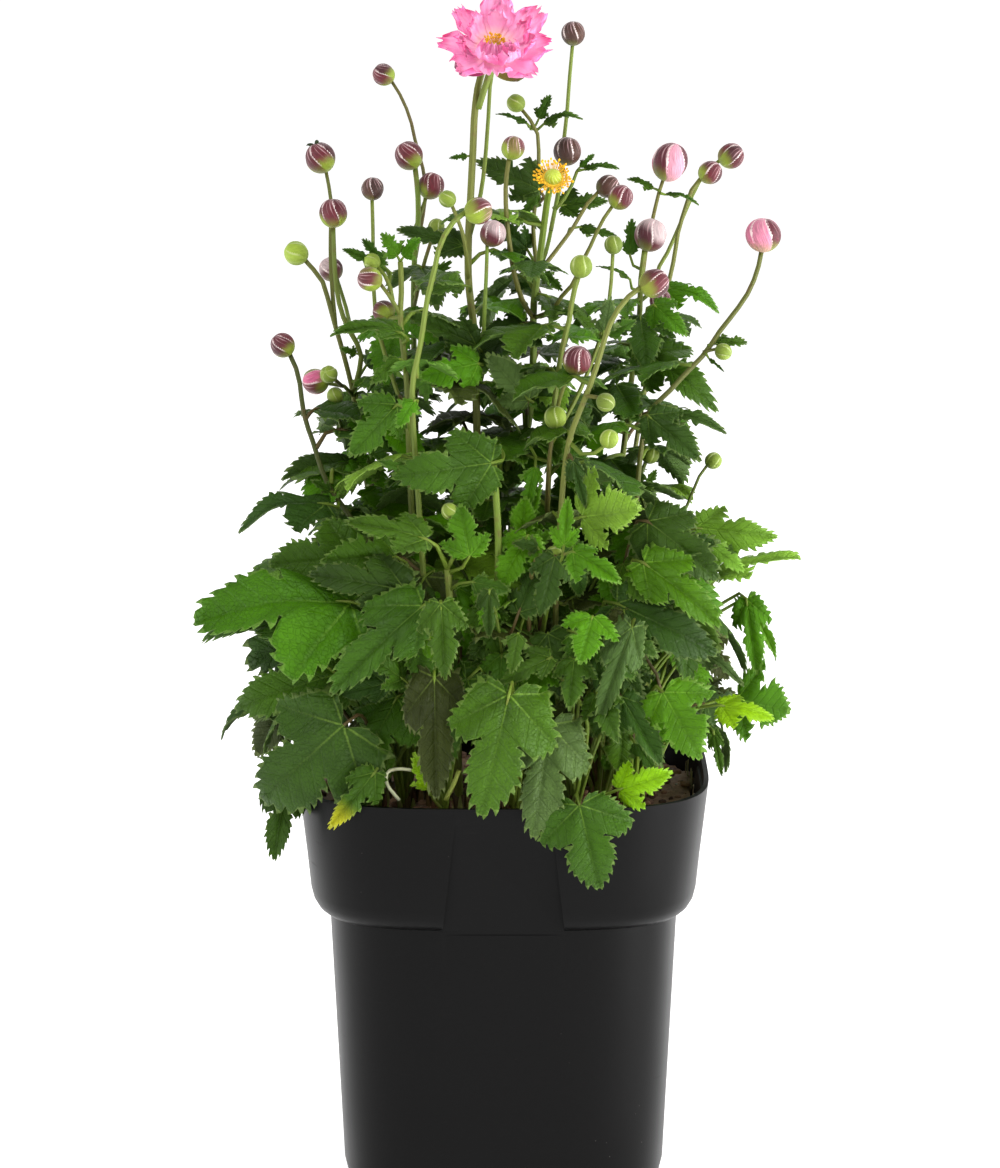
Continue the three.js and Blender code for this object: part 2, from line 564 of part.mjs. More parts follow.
        bud: [[46, 448.8, -39], 5.2, "bud_15"] },
      { to: [[12, 388, -16], [21, 392, -8], [25, 398, -5], [31, 405, -3], [34, 413, -2], [38, 421, -1],
        [43, 432, 0], [47, 438.5, 0]], bud: [[51.7, 443.8, 0], 5.5, "bud_16"] },
      { to: [[22, 438, -38], [28, 446, -41], [32, 456, -42]], radius: 0.9 },
    ],
    leaves: [
      { hub: [15, 447, -32], tip: [-14, 461, -26], root: [13.4, 440, -24], wide: 0.65 },
      { hub: [14, 446, -20], tip: [5, 430, -14], root: [13, 442, -24], wide: 0.6 },
      { hub: [25, 440, -46], tip: [46, 442, -52], root: [22, 438, -38], wide: 0.6 },
      { hub: [33, 430, -38], tip: [50, 426, -40], root: [28, 427, -29], wide: 0.45 },
      { hub: [9, 420, -22], tip: [-6, 434, -16], root: [14, 410, -16], wide: 0.7 },
      { hub: [15, 410, -10], tip: [25, 401, -4], wide: 0.8 },
      { hub: [9, 386, -8], tip: [-12, 380, -6], root: [12, 384, -16], wide: 0.7, face: 30 },
      { hub: [18, 389, -6], tip: [33, 391, -2], root: [13, 388, -15], wide: 0.45 },
      { hub: [10, 350, 30], tip: [-9, 371, 34], root: [9, 336, -14], wide: 0.9, face: 5 },
      { hub: [12, 352, 20], tip: [29, 366, 22], root: [10, 342, -14], wide: 0.8, face: 10 },
      { hub: [-7, 321, 58], tip: [-52, 315, 62], root: [-2.6, 304, -12], wide: 0.75, face: 5, fold: 0.1 },
      { hub: [13, 319, 44], tip: [9, 299, 50], root: [1, 318, -12], wide: 0.7 },
      { hub: [32, 456.5, -42], tip: [51, 457, -44], wide: 0.35, face: 45, bow: 0.14 },
      { hub: [32, 456.5, -42], tip: [40, 464, -46], wide: 0.6 },
      { hub: [13.5, 477, -28], tip: [34, 481, -26], wide: 0.5, face: 45, bow: 0.18 },
      { hub: [13.5, 478, -28], tip: [20, 491, -32], wide: 0.8 },
      { hub: [12, 477, -28], tip: [-5, 482, -24], wide: 0.35, face: 40 },
      { hub: [14, 372, -26], tip: [24, 372, -60], root: [12, 362, -16], wide: 0.8, face: 80 },
      { hub: [2, 336, -24], tip: [-4, 330, -66], root: [3, 324, -13], wide: 0.8, face: 72 },
      { hub: [14, 402, -26], tip: [2, 404, -52], root: [13, 398, -16], wide: 0.8, face: 75 },
    ],
  },
  stem_right_front: {
    root: [26, 40],
    courses: [
      { to: [[22, 240, 50], [24, 290, 58], [28, 330, 62], [32, 342, 62], [36, 352, 62], [40, 363, 62],
        [43, 373, 62], [46, 383, 62], [50, 391, 62], [55, 397.5, 61], [60, 402, 60]],
        bud: [[67, 404, 58], 6.4, "bud_23"], radius: 1.4 },
      { to: [[36, 352, 62], [40, 353.5, 64]], bud: [[45, 349, 66], 4.1, ""] },
      { to: [[28, 330, 62], [36, 324, 66], [43, 325, 68]], bud: [[46.6, 332, 69], 4.1, ""] },
    ],
    leaves: [
      { hub: [34, 296, 74], tip: [61, 300, 80], root: [24, 288, 58], wide: 1.3, face: 5 },
      { hub: [30, 322, 70], tip: [36, 300, 72], root: [27, 322, 61], wide: 0.4 },
    ],
  },
  stem_right_mid: {
    root: [22, 8],
    courses: [
      { to: [[18, 240, 14], [18, 290, 20], [20, 330, 24], [22, 352, 28], [25.5, 376, 30], [28, 385, 30],
        [30, 398, 30], [32, 405, 30]], bud: [[33.8, 411.8, 30], 5, ""], radius: 1.4 },
      { to: [[20, 330, 24], [25, 354, 42], [28.5, 361, 44]], bud: [[32, 368.3, 46], 6.4, "bud_35"] },
      { to: [[18, 290, 20], [19.5, 325, 44], [21, 335.5, 46]], bud: [[22, 342, 46], 5, ""] },
      { to: [[20, 330, 24], [34, 356, 14], [44, 384, 12], [46.5, 396, 12], [47.5, 405, 12], [48, 416, 12]],
        bud: [[48.6, 421.8, 12], 4.1, ""] },
    ],
    leaves: [
      { hub: [44, 381, 18], tip: [47, 398, 20], root: [43.6, 380, 12], wide: 0.95, face: 10 },
      { hub: [46, 380, 8], tip: [59, 387, 6], root: [44.4, 384, 12], wide: 0.9 },
      { hub: [26, 350, 12], tip: [44, 344, -6], root: [20, 332, 24], wide: 0.8, face: 60 },
    ],
  },
  stem_right: {
    root: [40, -18],
    courses: [
      { to: [[46, 240, -24], [50, 300, -32], [54, 335, -36], [57, 362, -37], [59, 375, -38],
        [60.4, 390, -38],
        [61, 406, -38], [62, 418, -38]], bud: [[65.4, 426.3, -38], 7.3, "bud_22"], radius: 1.5 },
      { to: [[61, 406, -38], [63.5, 420, -50], [66.5, 434, -54], [69, 445, -54], [71, 451.5, -53]],
        bud: [[74.3, 460, -52], 8, "bud_19"], stretch: 1.15 },
      { to: [[59, 375, -38], [66, 384, -34], [69, 390.5, -32]], bud: [[70, 396, -31], 5, "bud_24"] },
      { to: [[54, 335, -36], [60.5, 351, -34], [64, 357.5, -33]], bud: [[66.5, 361, -32], 3.7, ""] },
    ],
    leaves: [
      { hub: [62, 373, -22], tip: [95, 347, -6], root: [58, 366, -37], wide: 0.6, face: 25 },
      { hub: [67, 394, -26], tip: [82, 380, -20], root: [62, 379.5, -37], wide: 0.8 },
      { hub: [72, 402, -44], tip: [97, 392, -42], root: [61, 396, -38], wide: 0.5, face: 40, bow: 0.16 },
      { hub: [69, 447, -54], tip: [55, 453, -56], wide: 0.5, face: 35 },
      { hub: [69.2, 446, -54], tip: [87, 440, -56], wide: 0.3, face: 60, bow: 0.14 },
      { hub: [56, 417, -42], tip: [57, 434, -46], root: [61.4, 410, -38], wide: 0.7 },
      { hub: [56, 406, -30], tip: [41, 412, -26], root: [60.8, 400, -38], wide: 0.3, face: 50 },
      { hub: [60, 340, -52], tip: [74, 336, -84], root: [53, 330, -35], wide: 0.8, face: 78 },
      { hub: [52, 366, -56], tip: [38, 368, -76], root: [57.6, 366, -37], wide: 0.8, face: 70 },
    ],
  },
  stem_right_back: {
    root: [36, -46],
    courses: [
      { to: [[44, 240, -56], [54, 300, -66], [62, 350, -72], [68, 385, -74], [72, 398, -74], [76, 415, -74],
        [78, 428, -74], [81, 438, -74], [84, 447, -74], [87.5, 452, -74]],
          bud: [[92.5, 455.3, -74], 5.4, "bud_20"],
        radius: 1.2 },
      { to: [[68, 385, -74], [67, 402, -82], [69, 411, -84], [73, 418, -85], [77, 427, -86], [82, 439, -86],
        [87, 450, -86], [92, 457, -86], [96, 460.5, -86]], bud: [[102, 463, -86], 5.9, "bud_21"] },
    ],
    leaves: [
      { hub: [60, 372, -84], tip: [46, 376, -108], root: [65.6, 370, -73], wide: 0.8, face: 80 },
      { hub: [74, 388, -80], tip: [88, 384, -96], root: [69, 387, -74], wide: 0.8, face: 60 },
    ],
  },
  stem_far_right: {
    root: [54, 8],
    courses: [
      { to: [[56, 240, 8], [58, 290, 8], [65, 345, 8], [72, 352, 8], [80, 361, 6], [90, 371.5, 4],
        [97, 382, 4],
        [104, 391, 4], [110, 400, 4], [114, 410, 4], [115.8, 418, 4]], bud: [[116.8, 426.3, 4], 8, "bud_25"],
        radius: 1.3, stretch: 0.98 },
      { to: [[90, 371.5, 4], [95, 375, 4]], radius: 0.8, bud: [[98.5, 372.4, 6], 3.8, ""] },
    ],
    leaves: [
      { hub: [64, 343, 22], tip: [88, 322, 32], root: [64, 336, 8], wide: 0.7, face: 15 },
      { hub: [67, 345, 16], tip: [100, 335, 12], root: [65.4, 343, 8], wide: 0.35, face: 40, bow: 0.12 },
      { hub: [95, 376, 2], tip: [110, 377, -2], root: [92.4, 374.6, 4], wide: 0.7, face: 20 },
      { hub: [90.5, 370.6, 5], tip: [99, 363, 8], wide: 0.3 },
    ],
  },
  stem_right_low: {
    root: [56, -16],
    courses: [
      { to: [[60, 240, -16], [66, 280, -14], [63, 300, -12], [60, 311, -12], [61, 319, -12]], radius: 1.1,
        bud: [[65.3, 324.8, -12], 4.1, ""] },
      { to: [[66, 280, -14], [78, 294, -10], [84, 306, -8], [86.5, 313, -8], [89.8, 319.5, -8]],
        bud: [[94, 322, -8], 3.8, ""], radius: 0.8 },
    ],
    leaves: [
      { hub: [62, 308, -4], tip: [68, 318, -6], root: [62, 303, -12], wide: 0.8 },
    ],
  },
};

// Leaf tufts, each with its crown at root [right, near] in the soil.
const TUFTS = {
  tuft_left_low: {
    root: [-56, 34],
    leaves: [
      { hub: [-74, 200, 78], tip: [-113, 164, 70], wide: 1.1, fold: 0.12 },
      { hub: [-94, 215, 46], tip: [-131, 196, 44], wide: 0.55, face: 68, bow: 0.14 },
      { hub: [-100, 176, 46], tip: [-106, 137, 48], wide: 0.5, face: 10, lift: 1.6 },
      { hub: [-60, 178, 84], tip: [-81, 152, 91], wide: 0.55, face: 10 },
      { hub: [-85, 229, 62], tip: [-102, 238, 56], wide: 0.9 },
      { hub: [-88, 220, 50], tip: [-107, 219, 44], wide: 0.5, face: 35 },
    ],
  },
  tuft_left_high: {
    root: [-44, 30],
    leaves: [
      { hub: [-46, 262, 70], tip: [-90, 270, 66], wide: 0.6 },
      { hub: [-68, 276, 48], tip: [-108, 274, 46], wide: 0.9, face: 10 },
      { hub: [-71, 257, 66], tip: [-144, 251, 52], wide: 0.75, face: 50, bow: 0.06 },
      { hub: [-88, 250, 54], tip: [-139, 240, 42], wide: 0.45, face: 45 },
    ],
  },
  tuft_front_left: {
    root: [-26, 58],
    leaves: [
      { hub: [-33, 222, 84], tip: [-32, 166, 96], wide: 0.55, face: 10 },
      { hub: [-30, 256, 90], tip: [-28, 221, 99], wide: 0.65, face: 12 },
      { hub: [-38, 255, 80], tip: [-80, 215, 90], wide: 0.55, face: 22 },
      { hub: [-42, 239, 74], tip: [-38, 217, 80], wide: 0.95 },
      { hub: [-36, 170, 80], tip: [-42, 186, 84], wide: 0.95, lift: 0.4 },
    ],
  },
  stem_low_left: {
    root: [-20, 40],
    courses: [
      { to: [[-24, 230, 56], [-26, 258, 62], [-27, 272, 64]], radius: 1.9 },
      { to: [[-27, 272, 64], [-24, 279, 68], [-23, 286, 69], [-24, 295, 69]],
        bud: [[-26, 298.6, 70], 3.7, ""] },
    ],
    leaves: [
      { hub: [-37, 286, 76], tip: [-74, 294, 70], root: [-27, 272, 64], wide: 0.5, face: 25 },
      { hub: [-17, 278, 74], tip: [-21, 302, 72], root: [-27, 270, 64], wide: 0.95, face: 0 },
      { hub: [-16, 266, 72], tip: [2, 262, 70], root: [-26.4, 262, 62], wide: 0.9, face: 20 },
    ],
  },
  tuft_front: {
    root: [4, 54],
    leaves: [
      { hub: [1, 214, 99], tip: [-12, 158, 111], wide: 0.85, face: 12 },
      { hub: [5, 242, 88], tip: [2, 224, 94], wide: 0.9 },
      { hub: [20, 231, 82], tip: [-3, 219, 88], wide: 0.6, face: 20 },
      { hub: [19, 200, 88], tip: [12, 148, 100], wide: 0.72, face: 10 },
      { hub: [-8, 262, 82], tip: [-8, 240, 86], wide: 0.5 },
    ],
  },
  tuft_front_right: {
    root: [30, 58],
    leaves: [
      { hub: [33, 163, 99], tip: [42, 124, 103], wide: 1, face: 8, lift: 1.5 },
      { hub: [39, 250, 88], tip: [33, 228, 98], wide: 1.1, face: 12, fold: 0.1 },
      { hub: [32, 230, 78], tip: [29, 207, 82], wide: 0.65 },
      { hub: [40, 235, 72], tip: [45, 198, 78], wide: 0.45 },
      { hub: [51, 170, 88], tip: [75, 178, 92], wide: 0.85, face: 10, lift: 0.6 },
      { hub: [57, 245, 84], tip: [42, 202, 92], wide: 0.42 },
    ],
  },
  tuft_right_low: {
    root: [58, 36],
    leaves: [
      { hub: [71, 215, 84], tip: [88, 184, 92], wide: 1.05, face: 10 },
      { hub: [97, 209, 60], tip: [122, 203, 58], wide: 0.6, face: 30 },
      { hub: [105, 212, 38], tip: [129, 206, 40], wide: 1.5, face: 5 },
      { hub: [94, 197, 68], tip: [98, 176, 72], wide: 0.35 },
      { hub: [88, 234, 50], tip: [108, 218, 52], wide: 0.4, face: 45 },
      { hub: [52, 213, 82], tip: [71, 180, 86], wide: 0.5 },
      { hub: [58, 192, 72], tip: [68, 178, 76], wide: 0.8 },
    ],
  },
  tuft_right_high: {
    root: [42, 26],
    leaves: [
      { hub: [64, 294, 58], tip: [96, 268, 68], wide: 0.8, face: 18 },
      { hub: [62, 275, 72], tip: [97, 246, 82], wide: 0.6, face: 22 },
      { hub: [86, 291, 34], tip: [123, 287, 38], wide: 0.7, face: 10 },
      { hub: [97, 270, 44], tip: [135, 277, 42], wide: 0.4, face: 62 },
      { hub: [92, 283, 50], tip: [108, 271, 54], wide: 0.8 },
      { hub: [50, 256, 72], tip: [96, 233, 76], wide: 0.7, face: 18 },
      { hub: [109, 258, 28], tip: [114, 223, 34], wide: 0.5, face: 10 },
      { hub: [110, 255, 14], tip: [123, 230, 16], wide: 0.35, face: 50 },
      { hub: [54, 243, 76], tip: [69, 231, 80], wide: 0.9 },
    ],
  },
  tuft_inner: {
    root: [10, 38],
    leaves: [
      { hub: [26, 283, 80], tip: [28, 305, 81], wide: 0.6, face: 5 },
      { hub: [30, 280, 85], tip: [52, 266, 92], wide: 0.68, face: 26 },
      { hub: [22, 278, 76], tip: [15, 250, 80], wide: 0.75 },
      { hub: [14, 282, 66], tip: [3, 284, 70], wide: 1 },
    ],
    courses: [
      { to: [[10, 240, 56], [10, 255, 60], [11, 268, 64], [13, 276, 68], [17, 279, 70]], radius: 1.2,
        bud: [[21.5, 278.8, 72], 3.7, ""] },
    ],
  },
};

// Tufts on the sides and back follow one rule, turned about the pot's middle. Rows give the height and
// reach of the stalk end and tip.
const BACK_TURNS = {
  tuft_side_right: 100,
  tuft_back_right: 135,
  tuft_back: 178,
  tuft_back_left: 232,
  tuft_side_left: 270,
};
const BACK_REACH = 46;
const BACK_ROWS = [
  { across: -26, hub: [196, 84], tip: [158, 102], wide: 0.8 },
  { across: 22, hub: [206, 86], tip: [170, 108], wide: 0.9 },
  { across: -4, hub: [236, 84], tip: [200, 112], wide: 0.8 },
  { across: -34, hub: [250, 70], tip: [226, 98], wide: 0.75 },
  { across: 30, hub: [262, 64], tip: [240, 96], wide: 0.75 },
  { across: 0, hub: [288, 54], tip: [272, 92], wide: 0.8 },
];

function backTufts() {
  let seed = 11;
  const random = () => {
    seed = (seed * 16807) % 2147483647;
    return seed / 2147483647 - 0.5;
  };
  const tufts = {};
  for (const [name, turn] of Object.entries(BACK_TURNS)) {
    const leaves = BACK_ROWS.map((row) => {
      const across = row.across + 8 * random();
      const lean = 26 * random();
      return {
        turn,
        hub: [across, row.hub[0] + 6 * random(), row.hub[1] + 6 * random()],
        tip: [across + lean, row.tip[0] + 10 * random(), row.tip[1] + 6 * random()],
        wide: row.wide,
        face: 20,
      };
    });
    tufts[name] = { turn, root: [0, BACK_REACH], leaves };
  }
  return tufts;
}

// Leaves that would cross another piece are moved nearer or further, blade end and tip, until clear, and
// their stalks bowed aside.
const SHIFTS = [
  [0, 0], [3, 3], [-3, -3], [6, 6], [-6, -6], [0, 6], [6, 0], [0, -6], [-6, 0], [9, 9], [-9, -9],
  [12, 12], [-12, -12], [4, 12], [12, 4], [-4, -12], [-12, -4], [16, 16], [-16, -16], [20, 20], [-20, -20],
];
const BOWS = [0, 5, -5, 10, -10, 16, -16];
const TOUCH = 0.002;
const SESSILE = 0.16;

const placed = [];

function place(node, solid, leaf = false) {
  placed.push({ node, solid, box: solid.boundingBox(), leaf });
}

const apart = (a, b) => [0, 1, 2].some((i) => a.min[i] > b.max[i] || a.max[i] < b.min[i]);

// The first placed piece among the chosen ones that a solid crosses.
function firstCrossed(solid, chosen) {
  const box = solid.boundingBox();
  return placed.find(
    (piece) => chosen(piece) && !apart(box, piece.box) && solid.intersect(piece.solid).volume() > TOUCH,
  );
}

const crossing = (solid, node) => firstCrossed(solid, (piece) => piece.node !== node);
const crowded = (solid, node) => firstCrossed(solid, (piece) => piece.node === node && piece.leaf);

// Tries the shifts in turn and returns the leaf's solid.
function settle(leaf, node, root) {
  let spare = null;
  for (const [hubShift, tipShift] of SHIFTS) {
    const moved = {
      ...leaf,
      hub: [leaf.hub[0], leaf.hub[1], leaf.hub[2] + hubShift],
      tip: [leaf.tip[0], leaf.tip[1], leaf.tip[2] + tipShift],
    };
    for (const bow of BOWS) {
      if (crossing(leafSolid(moved, root, bow, 0.35), node)) continue;
      const found = leafSolid(moved, root, bow);
      if (!crowded(found, node)) return found;
      spare = spare ?? found;
      break;
    }
  }
  return spare;
}

const pieces = new Map();
const paints = new Map();

function addNode(name, solid, colour, roughness = 0.6) {
  pieces.set(name, solid);
  paints.set(name, { color: colour, roughness, metalness: 0 });
}

const MAROON = 0x5e2431;
const LEAF_GREEN = 0x3f6a1e;
const PINK = 0xf08cc4;
const YELLOW = 0xe8a21c;

// The crown that a tuft or stem stands on, in its hole in the soil.
function crown(x, near, turn) {
  const geometry = new THREE.CylinderGeometry(CROWN_RADIUS * 0.7, CROWN_RADIUS,
    ROOT_DEPTH + CROWN_HEIGHT, 5);
  geometry.rotateX(Math.PI / 2);
  const foot = new THREE.Vector3(x, -near, 0).applyAxisAngle(Z, THREE.MathUtils.degToRad(turn ?? 0));
  geometry.translate(foot.x, foot.y, SOIL_TOP - ROOT_DEPTH + (ROOT_DEPTH + CROWN_HEIGHT) / 2);
  return { solid: solidOf(geometry), top: new THREE.Vector3(foot.x, foot.y,
    SOIL_TOP + CROWN_HEIGHT - 4), foot };
}

// Where a leaf's stalk starts in the crown, on the side that it leaves it.
function crownRoot(base, hub, number) {
  const out = hub.clone().sub(base.top).setZ(0).normalize().multiplyScalar(0.45 * CROWN_RADIUS);
  return base.top.clone().add(out).addScaledVector(Z, -1.4 * (number % 4));
}

const plants = { ...STEMS, ...TUFTS, ...backTufts() };
const crowns = {};
const courseLines = {};
const solids = {};
const roots = [];

for (const [name, plant] of Object.entries(plants)) {
  crowns[name] = crown(...plant.root, plant.turn);
  roots.push([crowns[name].foot.x, -crowns[name].foot.y]);
}

addNode("pot", potSolid(), 0x2b2a2b, 0.55);
addNode("soil", soilSolid(roots), 0x1c140e, 0.95);
place("pot", pieces.get("pot"));
place("soil", pieces.get("soil"));

const bloomHeart = seen(BLOOM.heart);
const bloomAxis = vec(BLOOM.axis).normalize();
const spentHeart = seen(SPENT.heart);
const spentAxis = vec(SPENT.axis).normalize();

// A ring of spikes on a flat collar or disc: the stamens.
function stamens(heart, axis, { inner, outer, reach, count, rise }) {
  const turn = new THREE.Quaternion().setFromUnitVectors(Z, axis);
  const profile = inner
    ? [[inner, 0], [outer, 0], [outer, 1.3], [inner, 1.3], [inner, 0]]
    : [[0, 0], [outer, 0], [outer, 1.3], [0, 1.3]];
  const ring = new THREE.LatheGeometry(profile.map(([x, y]) => new THREE.Vector2(x, y)),
    8).rotateX(Math.PI / 2);
  const parts = [ring];
  for (let i = 0; i < count; i++) {
    const angle = (2 * Math.PI * i) / count;
    const long = reach * (i % 2 ? 1 : 0.8);
    const spike = new THREE.CylinderGeometry(0.75, 0.45, long, 3).translate(0, long / 2 - 0.4, 0);
    spike.rotateX(Math.PI / 2);
    spike.rotateY(Math.PI / 2 - rise * (i % 3 === 0 ? 1.25 : 1));
    spike.translate(outer - 0.9, 0, 0.65);
    spike.rotateZ(angle);
    parts.push(spike.clone());
  }
  return fuse(
    parts.map((part) => {
      part.applyQuaternion(turn);
      part.translate(heart.x, heart.y, heart.z);
      return solidOf(part);
    }),
    FINENESS,
  );
}

// Petal outline, right half, from its foot to the notched tip, and its layers in the bloom.
const PETAL = [[0.09, 0.02], [0.25, 0.34], [0.37, 0.7], [0.28, 1]];
const PETAL_RIB = [0.28, 0.7];
const PETAL_LAYERS = [
  { count: 8, length: 24, lift: 8, start: 3, cup: 0.1 },
  { count: 7, length: 20, lift: 34, start: 3.4, cup: 0.13 },
  { count: 5, length: 14, lift: 58, start: 5.2, cup: 0.15 },
];

function petal(heart, axis, layer, index) {
  const side = new THREE.Vector3(1, 0, 0).cross(axis).normalize();
  const angle = (2 * Math.PI * (index + 0.37 * layer.lift)) / layer.count;
  const out = side.applyAxisAngle(axis, angle);
  const lift = THREE.MathUtils.degToRad(layer.lift + 6 * Math.sin(3 * index));
  const length = layer.length * (1 + 0.08 * Math.sin(5 * index + layer.lift));
  const along = out.clone().multiplyScalar(Math.cos(lift)).addScaledVector(axis, Math.sin(lift));
  const face = axis.clone().multiplyScalar(Math.cos(lift)).addScaledVector(out, -Math.sin(lift));
  const across = along.clone().cross(face);
  const base = heart.clone().addScaledVector(out, layer.start);
  const points = [];
  const add = (u, v, t) => {
    const ruffle = 0.05 * Math.sin(7 * v + 5 * u + index);
    const height = (-4 * layer.cup * v * (1 - v) + 0.35 * u * u + (v > 0.6 ? ruffle : 0)) * length + t;
    const point = base.clone().addScaledVector(across, u * length).addScaledVector(along, v * length);
    return points.push(point.addScaledVector(face, height)) - 1;
  };
  const start = add(0, -0.1, 0);
  const tip = add(0.02, 1.04, 0);
  const ribs = PETAL_RIB.map((v) => [add(0, v, 0.6), add(0, v, -0.6)]);
  const triangles = [];
  for (const hand of [1, -1]) {
    const ring = [start, ...PETAL.map(([u, v]) => add(hand * u, v, 0)), tip];
    for (const under of [0, 1]) {
      const low = ribs[0][under];
      const high = ribs[1][under];
      const list = [[low, ring[0], ring[1]], [low, ring[1], ring[2]], [low, ring[2], high],
        [high, ring[2], ring[3]],
        [high, ring[3], ring[4]], [high, ring[4], ring[5]]];
      const flip = (hand < 0) !== (under === 1);
      for (const [a, b, c] of list) triangles.push(flip ? [a, c, b] : [a, b, c]);
    }
  }
  return meshSolid(points, triangles);
}

function bloomSolid() {
  const core = new THREE.CylinderGeometry(5, 3, 3.4, 8).rotateX(Math.PI / 2).translate(0, 0, -1.7);
  const eye = new THREE.CylinderGeometry(5.6, 3, 9, 8).rotateX(Math.PI / 2).translate(0, 0, 4.5);
  for (const part of [core, eye]) {
    part.applyQuaternion(new THREE.Quaternion().setFromUnitVectors(Z, bloomAxis));
    part.translate(bloomHeart.x, bloomHeart.y, bloomHeart.z);
  }
  const parts = [solidOf(core)];
  for (const layer of PETAL_LAYERS) {
    for (let i = 0; i < layer.count; i++) {
      parts.push(petal(bloomHeart, bloomAxis, layer, i).subtract(solidOf(eye)));
    }
  }
  return fuse(parts, 0.3);
}

addNode("bloom_petals", bloomSolid(), PINK, 0.7);
place("bloom_petals", pieces.get("bloom_petals"));
const bloomEye = bloomHeart.clone().addScaledVector(bloomAxis, GAP);
const stamenSizes = { inner: 0, outer: 2.4, reach: 4.6, count: 9, rise: 1.2 };
addNode("bloom_stamens", stamens(bloomEye, bloomAxis, stamenSizes), YELLOW, 0.8);
place("bloom_stamens", pieces.get("bloom_stamens"));
const spentRing = spentHeart.clone().addScaledVector(spentAxis, -1.2);
const spentSizes = { inner: SPENT.radius + GAP, outer: SPENT.radius + 1.4, reach: 4.4, count: 10,
  rise: 0.15 };
addNode("spent_stamens", stamens(spentRing, spentAxis, spentSizes), YELLOW, 0.8);
place("spent_stamens", pieces.get("spent_stamens"));

// Stems, stalks and buds come first, then the leaves.
for (const [name, plant] of Object.entries(plants)) {
  const parts = [crowns[name].solid];
  const lines = [];
  courseLines[name] = lines;
  (plant.courses ?? []).forEach((course, number) => {
    const points = course.to.map((p) => seen(p));
    if (number) points[0] = nearestOn(lines, points[0]);
    else points.unshift(crowns[name].top.clone());
    if (course.bud) {
      const [where, radius, label] = course.bud;
      const at = seen(where);
      const axis = at.clone().sub(points[points.length - 1]).normalize();
      const stretch = course.stretch ?? 1.06;
      const reach = label ? radius * stretch + 0.5 : radius * 0.7;
      points[points.length - 1].lerp(at.clone().addScaledVector(axis, -reach), 1);
      const globe = bud({ at, radius, axis, stretch, sides: label ? 10 : 6 });
      if (label) {
        addNode(label, globe, MAROON, 0.5);
        place(label, globe);
      } else {
        parts.push(globe);
      }
    }
    const radius = course.radius ?? STALK_RADIUS;
    const built = tube(points, radius, number ? 3 : 4, stepsFor(points, number ? 22 : 34));
    parts.push(built.solid);
    lines.push(built.line);
  });
  if (name === "stem_bloom") {
    const neck = bloomHeart.clone().addScaledVector(bloomAxis, -3.4 - GAP);
    const top = nearestOn(lines, seen(plant.courses[0].to.at(-3)));
    parts.push(tube([top, neck.clone().addScaledVector(bloomAxis, -5), neck], 1.9, 4, 2).solid);
  }
  if (name === "stem_centre") {
    const ball = new THREE.SphereGeometry(SPENT.radius, 8, 5).translate(...spentHeart.toArray());
    parts.push(solidOf(ball));
  }
  solids[name] = parts;
  parts.forEach((part) => place(name, part));
}

let leafNumber = 0;
for (const [name, plant] of Object.entries(plants)) {
  plant.leaves.forEach((leaf, number) => {
    leafNumber += 1;
    const own = { ...leaf, skew: Math.sin(2.4 * leafNumber) };
    let root = leaf.root
      ? nearestOn(courseLines[name], seen(leaf.root))
      : crownRoot(crowns[name], seen(leaf.hub, leaf.turn), number);
    if (!leaf.root && !name.startsWith("tuft")) {
      root = nearestOn(courseLines[name], seen(leaf.hub));
      own.hub = leaf.hub.map((value, i) => value + SESSILE * (leaf.tip[i] - value));
    }
    // A leaf that finds no clear place is left out.
    const found = settle(own, name, root);
    if (!found) return;
    solids[name].push(found);
    place(name, found, true);
  });
}

for (const [name, parts] of Object.entries(solids)) addNode(name, fuse(parts, FINENESS), LEAF_GREEN, 0.6);

const anemone = new THREE.Group();
for (const [name, solid] of pieces) {
  const mesh = new THREE.Mesh(geometryOf(solid), new THREE.MeshStandardMaterial(paints.get(name)));
  mesh.name = name;
  anemone.add(mesh);
}

export default anemone;
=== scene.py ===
"""The dressed Japanese anemone in its nursery pot: leaves, stems, silky buds, bloom, pot and soil."""

import math
import random

import bpy
import numpy as np
from mathutils import Matrix, Vector, geometry, kdtree, noise


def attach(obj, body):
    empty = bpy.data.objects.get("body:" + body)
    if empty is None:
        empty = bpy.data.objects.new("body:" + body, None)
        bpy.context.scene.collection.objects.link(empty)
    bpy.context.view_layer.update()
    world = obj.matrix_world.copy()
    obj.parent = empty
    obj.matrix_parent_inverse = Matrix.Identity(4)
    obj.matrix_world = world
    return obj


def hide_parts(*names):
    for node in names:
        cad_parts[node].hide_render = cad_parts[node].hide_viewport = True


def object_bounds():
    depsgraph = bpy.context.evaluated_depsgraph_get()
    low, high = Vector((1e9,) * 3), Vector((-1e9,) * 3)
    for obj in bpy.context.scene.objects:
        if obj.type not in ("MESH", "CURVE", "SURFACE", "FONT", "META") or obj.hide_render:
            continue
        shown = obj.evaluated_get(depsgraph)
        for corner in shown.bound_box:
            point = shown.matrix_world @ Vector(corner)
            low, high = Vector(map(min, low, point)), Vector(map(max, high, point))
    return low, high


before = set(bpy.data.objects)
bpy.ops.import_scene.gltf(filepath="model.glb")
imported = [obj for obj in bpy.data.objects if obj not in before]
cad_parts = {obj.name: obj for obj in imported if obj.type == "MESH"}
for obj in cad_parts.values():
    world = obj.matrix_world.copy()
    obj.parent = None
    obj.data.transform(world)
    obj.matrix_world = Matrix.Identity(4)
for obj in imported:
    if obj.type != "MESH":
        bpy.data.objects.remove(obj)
CAD_BOX = [list(corner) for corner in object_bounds()]

